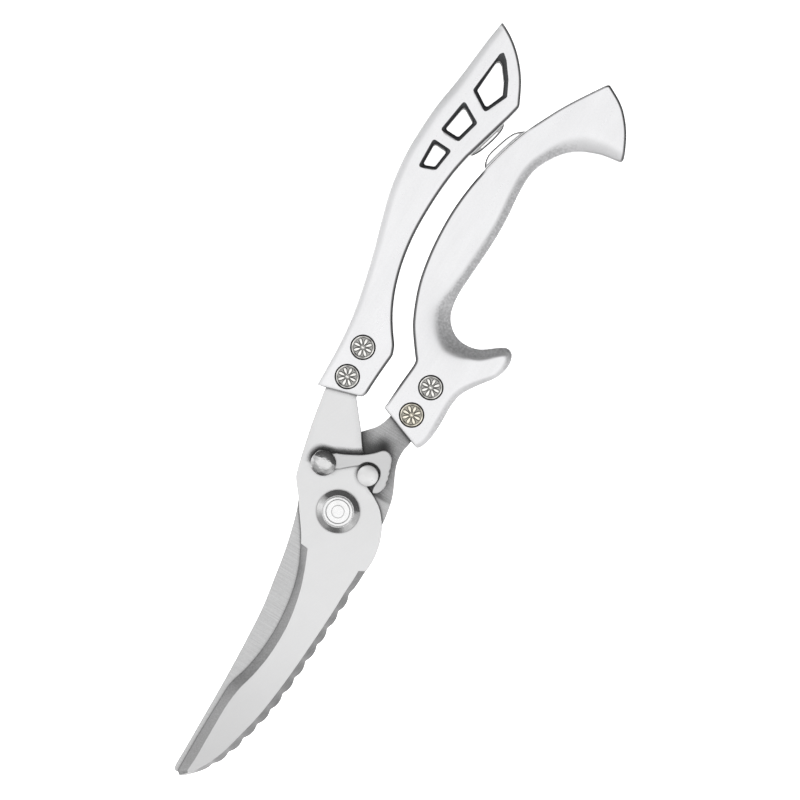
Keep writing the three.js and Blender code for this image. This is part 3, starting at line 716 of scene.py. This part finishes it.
def edge_fall(points, outline, shape):
    """How far the face falls towards the edge at each point, the deepest over every stretch of the outline."""
    out, dull = np.empty(len(points)), np.empty(len(points))
    a, span = outline, np.roll(outline, -1, 0) - outline
    length2 = np.sum(span**2, 1)
    ahead = np.roll(shape, -1, 0) - shape
    for first in range(0, len(points), 1000):
        p = points[first:first + 1000]
        away = p[:, None] - a
        share = np.clip(np.sum(away * span, 2) / length2, 0, 1)
        gap = np.linalg.norm(away - share[..., None] * span, axis=2)
        width, depth, hollow, soft, radius = (shape[:, k] + share * ahead[:, k] for k in range(5))
        reach = width - gap
        reach = (reach + np.sqrt(reach**2 + soft**2)) / 2
        t = np.clip(1 - reach / width, 0, 1)
        fall = np.maximum(depth * (1 - t) * (1 + hollow * t) - 0.008, 0)
        roll = radius * (1 - np.sqrt(1 - np.clip(1 - gap / radius, 0, 1) ** 2))
        out[first:first + 1000] = np.max(fall + roll, axis=1)
        share = np.clip(fall / (0.4 * depth), 0, 1) * np.clip((hollow + 0.6) / 0.5, 0, 1)
        dull[first:first + 1000] = np.max(share * np.clip(depth - 0.4, 0, 1), axis=1)
    return out, dull


def plate(points, triangles, ring, fall, levels, between):
    """A plate whose faces fall towards its edge, and their point numbers. between gives the wall's levels."""
    base, face = levels
    solid = Solid()
    top = solid.sheet(points, triangles, face - fall)
    bottom = solid.sheet(points, triangles, base + fall, up=False)
    steps = [(points[ring], level) for level in between(base + fall[ring], face - fall[ring])]
    solid.wall([bottom[i] for i in ring], [top[i] for i in ring], steps)
    return solid, top, bottom


def cast_handle(name, node, body, sides, windows, rivets):
    outline = curved([rim(node, HANDLE_RIM_LEVEL)], 0.35)[0]
    outline = eased(even(outline, 0.32), 4)
    outline = even(inset(outline, 0.01), 0.34)
    shape = edge_shape(outline, sides)
    window_loops = [rounded(corners, 1.0) for corners in windows]
    recess_loops = [circle(centre, RECESS_RADIUS, 64) for centre in rivets]
    loops = [outline, *window_loops, *recess_loops]
    loose = spread(loops, 0.6, (0.1,))
    near = distances(loose, outline)
    kept = [loose[(near > 1.55) | (np.abs(near - 0.105) < 0.035)]]
    for offset in (0.25, 0.42, 0.65, 0.95, 1.3):
        row = inset(outline, offset)
        row = row[inside(row, loops)]
        clear = np.min([distances(row, loop) for loop in loops[1:]], axis=0)
        kept.append(row[(distances(row, outline) > 0.95 * offset) & (clear > 0.28)])
    loose = np.vstack(kept)
    points, triangles, rings = filled(loops, loose)
    fall, dull = edge_fall(points, outline, shape)
    solid, top, bottom = plate(points, triangles, rings[0], fall, (0.0, HANDLE_TOP),
                               lambda low, high: (low + 0.12, low + 0.5, MIDDLE, high - 0.5, high - 0.12))
    # The window openings, with a sloping rim at both faces.
    for k in range(len(windows)):
        ring = rings[1 + k][::-1]
        inner = rounded(WINDOW_HOLES[k], 1.05)[::-1]
        slope = points[ring] * 0.45 + inner * 0.55
        steps = [(slope, 0.45), (inner, 1.2), (inner, HANDLE_TOP - 1.2), (slope, HANDLE_TOP - 0.45)]
        solid.wall([bottom[i] for i in ring], [top[i] for i in ring], steps, 1)
    # The recesses for the rivet heads and caps, whose walls and floors take the dark rim finish as painted
    # shade.
    for k, centre in enumerate(rivets):
        ring = rings[1 + len(windows) + k]
        for up, sheet, level in ((True, top, RECESS_FLOOR), (False, bottom, HANDLE_TOP - RECESS_FLOOR - 0.05)):
            edge = [sheet[i] for i in ring]
            deep = solid.ring(points[ring], level)
            inner = solid.ring(circle(centre, 1.5, 64), level)
            for low, high in ((deep[::-1], edge[::-1]), (deep, inner)):
                solid.strip(*((low, high) if up else (high, low)), kind=1)
            solid.cap(inner, (*centre, level), 1, up)
    placed = np.array(solid.points)
    band = np.zeros(len(placed))
    band[:2 * len(points)] = np.tile(dull, 2)
    # The wall values are painted shade along the edges.
    shades = {"wall": painted_edge_shade(placed, outline, shape), "band": band}
    return piece(name, solid, body, [node], [CAST, DARK_RIM_AND_RECESS_SHADE], attributes=shades)


def painted_edge_shade(points, outline, shape):
    """Painted shade: how far each point is towards the side wall, 0 on the face and 1 on the wall, where the
    edge is tight.
    """
    gap = distances(points[:, :2], outline)
    nearest = np.empty(len(points), int)
    for first in range(0, len(points), 2000):
        p = points[first:first + 2000, :2]
        nearest[first:first + 2000] = np.argmin(np.sum((p[:, None] - outline) ** 2, 2), axis=1)
    middle = np.abs(points[:, 2] - MIDDLE) < 4.0
    return np.clip((1.0 - gap) / 0.4, 0, 1) * shape[nearest, 5] * np.where(middle, 0.3, 1.0)


# Width, depth, hollow and softness of an edge's rounding. Its radius and the strength of the dark line of
# painted shade along it follow where they aren't the usual ones.
USUAL_EDGE = (0.4, 0.0)
THIN = (0.8, 0.05, 0.0, 0.3, 0.7, 1.0)
FAINT = (0.8, 0.05, 0.0, 0.3, 0.6, 0.5)
PLAIN = (0.8, 0.05, 0.0, 0.3, 0.35, 0.25)
FRONT_SIDES = [
    ((-25.0, 33.5), (1.6, 0.55, -0.3, 0.4)),
    ((-24.0, 32.9), PLAIN),
    ((-11.5, 35.7), PLAIN),
    ((-9.4, 39.0), THIN),
    ((-20.1, 90.0), THIN),
    ((-9.6, 141.5), THIN),
    ((-22.1, 159.8), THIN),
    ((-26.7, 162.6), THIN),
    ((-27.5, 160.8), (2.4, 0.95, -0.3, 0.6)),
    ((-31.0, 140.3), (2.9, 1.2, -0.3, 0.7)),
    ((-34.6, 111.0), (2.7, 1.15, -0.3, 0.7)),
    ((-31.6, 89.1), (2.6, 1.1, -0.3, 0.7)),
    ((-27.2, 69.5), (2.3, 0.95, -0.3, 0.6)),
    ((-24.8, 49.0), (1.9, 0.75, -0.3, 0.5)),
]
REAR_SIDES = [
    ((-2.4, 36.2), PLAIN),
    ((12.0, 29.9), PLAIN),
    ((13.4, 30.4), (1.6, 0.7, 0.0, 0.3, 0.35, 0.0)),
    ((15.9, 40.0), (2.3, 1.05, 0.0, 0.3, 0.35, 0.0)),
    ((17.3, 51.6), (2.1, 0.95, 0.0, 0.3, 0.35, 0.0)),
    ((24.6, 61.4), (1.5, 0.6, -0.1, 0.3, 0.35, 0.0)),
    ((26.3, 66.0), (1.9, 0.95, 0.0, 0.3, 0.4, 0.2)),
    ((23.4, 71.6), (2.4, 1.4, 0.1, 0.3, 0.4, 0.3)),
    ((20.0, 69.9), (2.8, 1.7, 0.2, 0.3, 0.4, 0.2)),
    ((13.0, 66.5), (3.6, 2.0, 0.3, 0.6)),
    ((7.2, 67.2), (5.2, 2.7, 0.4, 1.4)),
    ((2.1, 73.4), (4.8, 2.4, 0.25, 1.9)),
    ((1.5, 79.0), (3.3, 1.8, 0.1, 1.3)),
    ((2.1, 86.0), (3.0, 1.7, 0.0, 0.7)),
    ((3.8, 107.0), (3.0, 1.7, 0.0, 0.4)),
    ((3.4, 117.5), (3.0, 1.7, 0.0, 0.4)),
    ((6.6, 130.4), (3.2, 1.8, 0.0, 0.6)),
    ((15.2, 138.2), (5.6, 2.0, -0.5, 1.2)),
    ((26.6, 140.8), (3.4, 1.1, -0.3, 0.8, 0.4, 0.3)),
    ((27.8, 142.4), THIN),
    ((18.8, 157.4), THIN),
    ((12.6, 161.0), THIN),
    ((11.3, 159.9), FAINT),
    ((2.8, 147.9), FAINT),
    ((-2.0, 138.5), FAINT),
    ((-3.6, 136.4), PLAIN),
    ((-9.4, 119.0), PLAIN),
    ((-10.5, 116.5), THIN),
    ((-13.0, 90.0), THIN),
    ((-1.3, 55.2), THIN),
    ((-1.6, 45.0), THIN),
]


def bumper(name, node, body, handle):
    """A soft pad. Its edge is darkened with painted shade except along the handle that it sits on."""
    outline = curved([rim(node, BUMPER_LEVELS[1])], 0.3, 40)[0]
    outline = eased(even(outline, 0.25), 1)
    outline = even(inset(outline, 0.03), 0.25)
    shape = np.tile([1.4, 0.5, -0.8, 0.3, 0.45, 0.0], (len(outline), 1))
    loose = spread([outline], 0.4, (0.08, 0.2, 0.4, 0.7))
    points, triangles, rings = filled([outline], loose)
    fall, _ = edge_fall(points, outline, shape)
    solid, _, _ = plate(points, triangles, rings[0], fall, BUMPER_LEVELS,
                        lambda low, high: (low + 0.1, low + 0.6, MIDDLE, high - 0.6, high - 0.1))
    places = np.array(solid.points)[:, :2]
    gap, beside = distances(places, outline), distances(places, rim(handle, HANDLE_RIM_LEVEL))
    # Painted shade along the pad's edge, kept off the side along the handle.
    wall = np.clip(1.8 - gap / 0.3, 0, 1) * np.clip((beside - 0.25) / 0.3, 0, 1)
    return piece(name, solid, body, [node], [RUBBER_GLOW], attributes={"wall": wall})


# ---- blades


def matched_rims(node, first_level, second_level):
    """Two rims of a CAD node with as many points each, paired from a point they share."""
    a, b = rim(node, first_level), rim(node, second_level)
    gaps = np.linalg.norm(a[:, None] - b, axis=2)
    i, j = np.unravel_index(np.argmin(gaps), gaps.shape)
    best = min(
        ((np.linalg.norm(np.roll(a, -i, 0) - np.roll(b, -k, 0), axis=1).sum(), k) for k in range(len(b))),
    )
    return np.roll(a, -i, 0), np.roll(b, -best[1], 0)


def blade(name, node, body, levels, ground_up, face_steel, band_at):
    """A ground blade. Where its two rims differ the side slopes as a ground band, whose kind band_at gives."""
    bottom, top = levels
    edge, face = matched_rims(node, bottom if ground_up else top, top if ground_up else bottom)
    edge, face = curved([edge, face], 0.4, 28.0)
    edge, face = inset(edge, 0.02), inset(face, 0.02)
    wide = np.linalg.norm(edge - face, axis=1)
    lobed = np.array([w > 0.25 and band_at(place) == 2 for w, place in zip(wide, (edge + face) / 2)])
    edge = np.where((lobed & np.roll(lobed, 1) & np.roll(lobed, -1))[:, None], eased(edge, 6), edge)
    kinds = []
    for i in range(len(edge)):
        j = (i + 1) % len(edge)
        sloped = max(wide[i], wide[j]) > 0.25
        kinds.append(band_at((edge[i] + edge[j]) / 2) if sloped else 3)
    land, ease = 0.3, 0.12
    solid = Solid()
    if ground_up:
        rings = [(edge, bottom), (edge, bottom + land), (face, top - ease), (inset(face, ease), top)]
        kinds_by_strip = [[3] * len(edge), kinds, [0] * len(edge)]
    else:
        rings = [(inset(face, ease), bottom), (face, bottom + ease), (edge, top - land), (edge, top)]
        kinds_by_strip = [[0] * len(edge), kinds, [3] * len(edge)]
    made = [solid.ring(loop, level) for loop, level in rings]
    for ring in made:
        solid.crease(ring)
    for low, high, strip_kinds in zip(made, made[1:], kinds_by_strip):
        solid.strip(low, high, kinds=strip_kinds)
    for ids, (loop, level), up in ((made[-1], rings[-1], True), (made[0], rings[0], False)):
        points, triangles, found = filled([loop], np.zeros((0, 2)))
        number = {found[0][i]: ids[i] for i in range(len(ids))}
        for a, b, c in triangles:
            if a in number and b in number and c in number:
                corners = (number[a], number[b], number[c])
                solid.face(corners if up else corners[::-1])
    materials = [face_steel, BEVEL_STEEL, SCALER_STEEL, SIDE_STEEL]
    return piece(name, solid, body, [node], materials, sharp=25.0)


# ---- small parts


def latch_piece():
    outline = curved([rim("safety_latch", LATCH_LEVELS[1])], 0.25, 34.0)[0]
    outline = eased(even(outline, 0.2), 5)
    outline = inset(outline, 0.02)
    # The round end is tucked in under the dome.
    away = outline - LATCH_PIVOT
    gap = np.linalg.norm(away, axis=1)
    tuck = np.clip((5.4 - gap) / 0.8, 0, 1) * np.maximum(gap - 3.95, 0)
    outline = outline - away * (tuck / gap)[:, None]
    shape = np.tile([0.5, 0.03, -0.5, 0.1, 0.28, 0.0], (len(outline), 1))
    loose = spread([outline], 0.5, (0.04, 0.1, 0.18, 0.3))
    points, triangles, rings = filled([outline], loose)
    fall, _ = edge_fall(points, outline, shape)
    solid, _, _ = plate(points, triangles, rings[0], fall, LATCH_LEVELS,
                        lambda low, high: [low + share * (high - low) for share in (0.1, 0.9)])
    return piece("latch_lever", solid, "safety_latch", ["safety_latch"], [LATCH_STEEL], sharp=60)


def rosette(name, node, body, finish):
    """A domed rivet head with eight petals round a button, inside a raised rim."""
    centre = RIVETS[node]
    count = 160
    radii = np.concatenate([np.linspace(0.12, 3.2, 38), np.linspace(3.26, RIVET_RADIUS, 14)])
    turn = np.arange(count) * 2 * math.pi / count
    solid = Solid()
    base, top = RECESS_FLOOR + 0.06, 12.29
    relief = []
    rings = [solid.ring(circle(centre, RIVET_RADIUS, count), base)]
    relief += [0.2] * count

    def petal(radius, angle):
        """How far a place is inside the nearest petal, and how far along it."""
        sector = math.pi / 4
        off = (angle + sector / 2) % sector - sector / 2
        across, along = radius * math.sin(abs(off)), radius * math.cos(off)
        t = (along - 0.7) / 2.35
        if not 0 < t < 1:
            return -1.0, t
        return 0.84 * t**0.7 * math.sqrt(1 - t**3) - across, t

    def height(radius, angle):
        """The height of the relief from 0 to 1 and how bright the metal is rubbed there."""
        if radius < 0.55:
            return math.sqrt(1 - (radius / 0.55) ** 2), 1.0
        if radius > 3.58:
            return 0.35, 0.02
        worn = 0.5 + 0.5 * math.sin(3 * angle + 1.1) * math.cos(5 * angle)
        if radius > 3.3:
            return 0.8, 0.35 + 0.65 * worn
        depth, t = petal(radius, angle)
        if depth > 0.0:
            core = min(1.0, depth / 0.13)
            return 0.4 + 0.6 * core, 0.04 + (1.0 - 0.3 * t) * core
        if depth > -0.12:
            return 0.15, 0.02
        scallop = 3.1 + 0.12 * math.cos(8 * angle)
        if radius > scallop:
            return 0.55, 0.6 * worn if radius > scallop + 0.08 else 0.04
        return 0.35, 0.36

    for radius in radii[::-1]:
        made = [height(radius, a) for a in turn]
        dome = 0.12 * (1 - (radius / RIVET_RADIUS) ** 2)
        levels = [top - RELIEF - 0.12 + dome + RELIEF * h for h, _ in made]
        rings.append(solid.ring(circle(centre, radius, count), levels))
        relief += [bright for _, bright in made]
    for outer, inner in zip(rings, rings[1:]):
        solid.strip(outer, inner)
    solid.cap(rings[-1], (*centre, top))
    relief.append(1.0)
    solid.cap(rings[0], (*centre, base), up=False)
    relief.append(0.2)
    return piece(name, solid, body, [node], [finish], sharp=80, attributes={"relief": relief})


def rivet_cap(name, node, body, centre):
    r = RIVET_RADIUS
    profile = [(0, 0.3), (1.2, 0.3), (1.3, 0.38), (1.5, 0.38), (1.6, 0.3), (r - 0.5, 0.32), (r - 0.2, 0.4),
               (r - 0.04, 0.62), (r - 0.02, 1.1), (r - 0.1, 1.15), (0, 1.15)]
    return piece(name, turned(centre, profile), body, [node], [HARDWARE], sharp=30)


def latch_dome():
    base, radius, top, rise = 11.0, 4.08, 12.74, 1.45
    profile = [(0, 6.2), (1.75, 6.2), (1.75, base), (radius - 0.1, base), (radius, base + 0.12)]
    for r in np.linspace(radius, 0.15, 24):
        profile.append((r, top - rise * (r / radius) ** 2.7))
    profile.append((0, top))
    return piece("latch_dome_rivet", turned(LATCH_PIVOT, profile), "front_half", ["latch_rivet"], [DOME_STEEL],
                 sharp=30)


def stud():
    radius, top = 3.38, 12.08
    profile = [(0, 3.0), (2.0, 3.0), (2.15, 3.15), (2.15, 11.05), (radius - 0.08, 11.05), (radius, 11.15),
               (radius, top - 0.28), (radius - 0.08, top - 0.1), (radius - 0.28, top), (0, top)]
    return piece("latch_stud_head", turned(STUD, profile), "rear_half", ["latch_stud"], [STUD_STEEL],
                 sharp=30)


def collar():
    profile = [(3.15, 9.18), (6.8, 9.18), (6.88, 9.26), (6.88, 9.84), (5.14, 10.98), (5.04, 10.98),
               (4.97, 10.9), (4.97, 10.25), (3.15, 10.25)]
    return piece("pivot_collar_ring", turned_ring((0, 0), profile, 128), "front_half", ["pivot_collar"],
                 [COLLAR_STEEL], sharp=20)


def bolt():
    top, radius = 12.0, 4.84
    profile = [(0, 0.6), (2.8, 0.6), (2.95, 0.75), (2.95, 10.3), (radius, 10.3), (radius, top - 0.35)]
    profile += [(radius - 0.05, top - 0.18), (radius - 0.16, top - 0.05), (radius - 0.3, top)]
    # A rim and two fine grooves.
    profile += [(4.0, top), (3.94, top - 0.05), (3.8, top - 0.3), (3.64, top - 0.08)]
    profile += [(2.14, top - 0.08), (2.0, top - 0.22), (1.86, top - 0.08), (0, top - 0.06)]
    return piece("pivot_bolt_head", turned((0, 0), profile, 128), "front_half", ["pivot_bolt"], [HEAD_STEEL],
                 sharp=35)


def nut():
    """A hexagon with its corners turned off at the outer face, and the end of the bolt inside it."""
    count = 96
    turn = np.arange(count) * 2 * math.pi / count
    flat = 5.8 * math.cos(math.pi / 6) - 0.01
    reach = flat / np.cos((turn % (math.pi / 3)) - math.pi / 6)
    unit = np.column_stack([np.cos(turn), np.sin(turn)])
    hexagon = unit * reach[:, None]
    solid = Solid()
    round_face = 4.75
    rings = [
        solid.ring(circle((0, 0), 2.5, count), 0.42),
        solid.ring(circle((0, 0), 2.9, count), 0.34),
        solid.ring(circle((0, 0), 3.0, count), 0.12),
        solid.ring(circle((0, 0), 3.15, count), 0.01),
        solid.ring(circle((0, 0), round_face, count), 0.01),
        solid.ring(hexagon, 0.03 + (reach - round_face) * 0.5),
        solid.ring(hexagon, 2.26),
        solid.ring(hexagon * 0.99, 2.29),
    ]
    for low, high in zip(rings, rings[1:]):
        solid.strip(low, high)
    solid.cap(rings[0], (0, 0, 0.42), up=False)
    solid.cap(rings[-1], (0, 0, 2.29))
    return piece("pivot_nut_hex", solid, "front_half", ["pivot_nut"], [HARDWARE], sharp=25)


def carried_over(node, finish):
    """A hidden CAD part that keeps its own mesh and takes a finish."""
    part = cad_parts[node]
    part.data.materials.clear()
    part.data.materials.append(finish)


def front_band(place):
    """The kind of ground band at a place on the front blade: 2 on the scaler side and 1 on the cutting side."""
    right_of_middle = place[0] > place[1] * 0.12 + 6 and place[1] > -97
    right_of_tip = place[0] > 0.9 and place[1] < -60
    return 2 if right_of_middle or right_of_tip else 1


FRONT_RIVETS = [RIVETS["front_rivet_lower"], RIVETS["front_rivet_upper"]]
REAR_RIVETS = [RIVETS["rear_rivet_lower"], RIVETS["rear_rivet_upper"]]
cast_handle("front_handle_cast", "front_handle", "front_half", FRONT_SIDES, WINDOWS, FRONT_RIVETS)
cast_handle("rear_handle_cast", "rear_handle", "rear_half", REAR_SIDES, [], REAR_RIVETS)
bumper("front_bumper_pad", "front_bumper", "front_half", "front_handle")
bumper("rear_bumper_pad", "rear_bumper", "rear_half", "rear_handle")
blade("front_blade_ground", "front_blade", "front_half", FRONT_BLADE_LEVELS, True, FRONT_STEEL, front_band)
blade("rear_blade_ground", "rear_blade", "rear_half", REAR_BLADE_LEVELS, False, REAR_STEEL, lambda place: 1)
latch_piece()
latch_dome()
stud()
collar()
bolt()
nut()
washer("pivot_washer_ring", "pivot_washer", (0, 0), 3.15, 5.78, 2.37, 2.84)
washer("latch_washer_ring", "latch_washer", LATCH_PIVOT, 1.95, 3.58, 9.16, 9.34)
for rivet_name, centre in RIVETS.items():
    half = "front_half" if rivet_name.startswith("front") else "rear_half"
    warm = ROSETTE_WARM if rivet_name == "rear_rivet_lower" else ROSETTE
    rosette(rivet_name.replace("rivet", "rosette"), rivet_name, half, warm)
    rivet_cap(rivet_name.replace("rivet", "back_cap"), rivet_name.replace("rivet", "rivet_cap"), half, centre)
carried_over("pivot_bush", BRONZE)
carried_over("torsion_spring", SPRING)


# ---- stage


def floor():
    size = 3.0
    mesh = bpy.data.meshes.new("floor")
    corners = [(-size, -size, 0), (size, -size, 0), (size, size, 0), (-size, size, 0)]
    mesh.from_pydata(corners, [], [(0, 1, 2, 3)])
    made = bpy.data.objects.new("floor", mesh)
    made.location = (0, 0, -0.0006)
    bpy.context.scene.collection.objects.link(made)
    f = Finish("light_table", (0.92, 0.92, 0.92), 0.0, 0.9)
    f.vary(f.noise(60.0, 2.0), 0.99)
    f.shader.inputs["Emission Color"].default_value = (1, 1, 1, 1)
    f.shader.inputs["Emission Strength"].default_value = 0.95
    mesh.materials.append(f.done())


def area_light(name, azimuth, zenith, distance, size, watts):
    """A soft light aimed at the object from a direction given in degrees."""
    light = bpy.data.lights.new(name, "AREA")
    light.shape = "DISK"
    light.size = size
    light.energy = watts
    made = bpy.data.objects.new(name, light)
    a, z = math.radians(azimuth), math.radians(zenith)
    target = Vector((0, 0.035, 0.01))
    back = Vector((math.cos(a) * math.sin(z), math.sin(a) * math.sin(z), math.cos(z)))
    made.location = target + back * distance
    made.rotation_mode = "QUATERNION"
    made.rotation_quaternion = (-back).to_track_quat("-Z", "Y")
    made.visible_glossy = False
    bpy.context.scene.collection.objects.link(made)


def sky():
    """Studio surroundings: bright overhead, darker towards the horizon, darkest to the upper right."""
    world = bpy.data.worlds.new("studio")
    bpy.context.scene.world = world
    world.use_nodes = True
    t = Nodes(world.node_tree)
    background = t.tree.nodes["Background"]
    place = t.node("ShaderNodeTexCoord").outputs["Generated"]
    split = t.node("ShaderNodeSeparateXYZ")
    t.link(place, split.inputs[0])
    ramp = t.node("ShaderNodeValToRGB")
    t.link(split.outputs["Z"], ramp.inputs["Fac"])
    stops = [(0.0, 0.10), (0.2, 0.20), (0.42, 0.33), (0.62, 0.43), (0.76, 0.56), (0.88, 0.72), (0.96, 0.68),
             (1.0, 0.66)]
    while len(ramp.color_ramp.elements) < len(stops):
        ramp.color_ramp.elements.new(0.5)
    for element, (position, value) in zip(ramp.color_ramp.elements, stops):
        element.position = position
        element.color = (value, value, value, 1)

    def lobe(azimuth, low, high, to_low, to_high):
        """A factor that changes towards one horizontal direction."""
        dot = t.node("ShaderNodeVectorMath", operation="DOT_PRODUCT")
        t.link(place, dot.inputs[0])
        a = math.radians(azimuth)
        dot.inputs[1].default_value = (math.cos(a), math.sin(a), 0.0)
        return t.mapped(dot.outputs["Value"], low, high, to_low, to_high, smooth=True)

    value = t.math("ADD", ramp.outputs["Color"], lobe(200, 0.80, 0.98, 0.0, 0.45))
    value = t.math("ADD", value, lobe(-35, 0.80, 0.97, 0.0, 0.35))
    value = t.math("MULTIPLY", value, lobe(92, 0.24, 0.40, 1.0, 0.14))
    value = t.math("MULTIPLY", value, lobe(270, 0.15, 0.55, 1.0, 0.64))
    value = t.math("MULTIPLY", value, lobe(288, 0.80, 0.93, 1.0, 0.34))
    t.link(value, background.inputs["Color"])
    background.inputs["Strength"].default_value = 2.84


def camera():
    lens = 223.7
    data = bpy.data.cameras.new("camera")
    data.lens = lens
    data.sensor_width = 36.0
    data.clip_start, data.clip_end = 0.1, 20.0
    made = bpy.data.objects.new("camera", data)
    made.location = (0.77 * MM, 40.8 * MM, 1.6)
    made.rotation_euler = (0, 0, math.radians(28))
    bpy.context.scene.collection.objects.link(made)
    bpy.context.scene.camera = made


floor()
sky()
area_light("key", 240, 42, 1.3, 0.45, 9.0)
camera()
bpy.context.scene.view_settings.view_transform = "Standard"
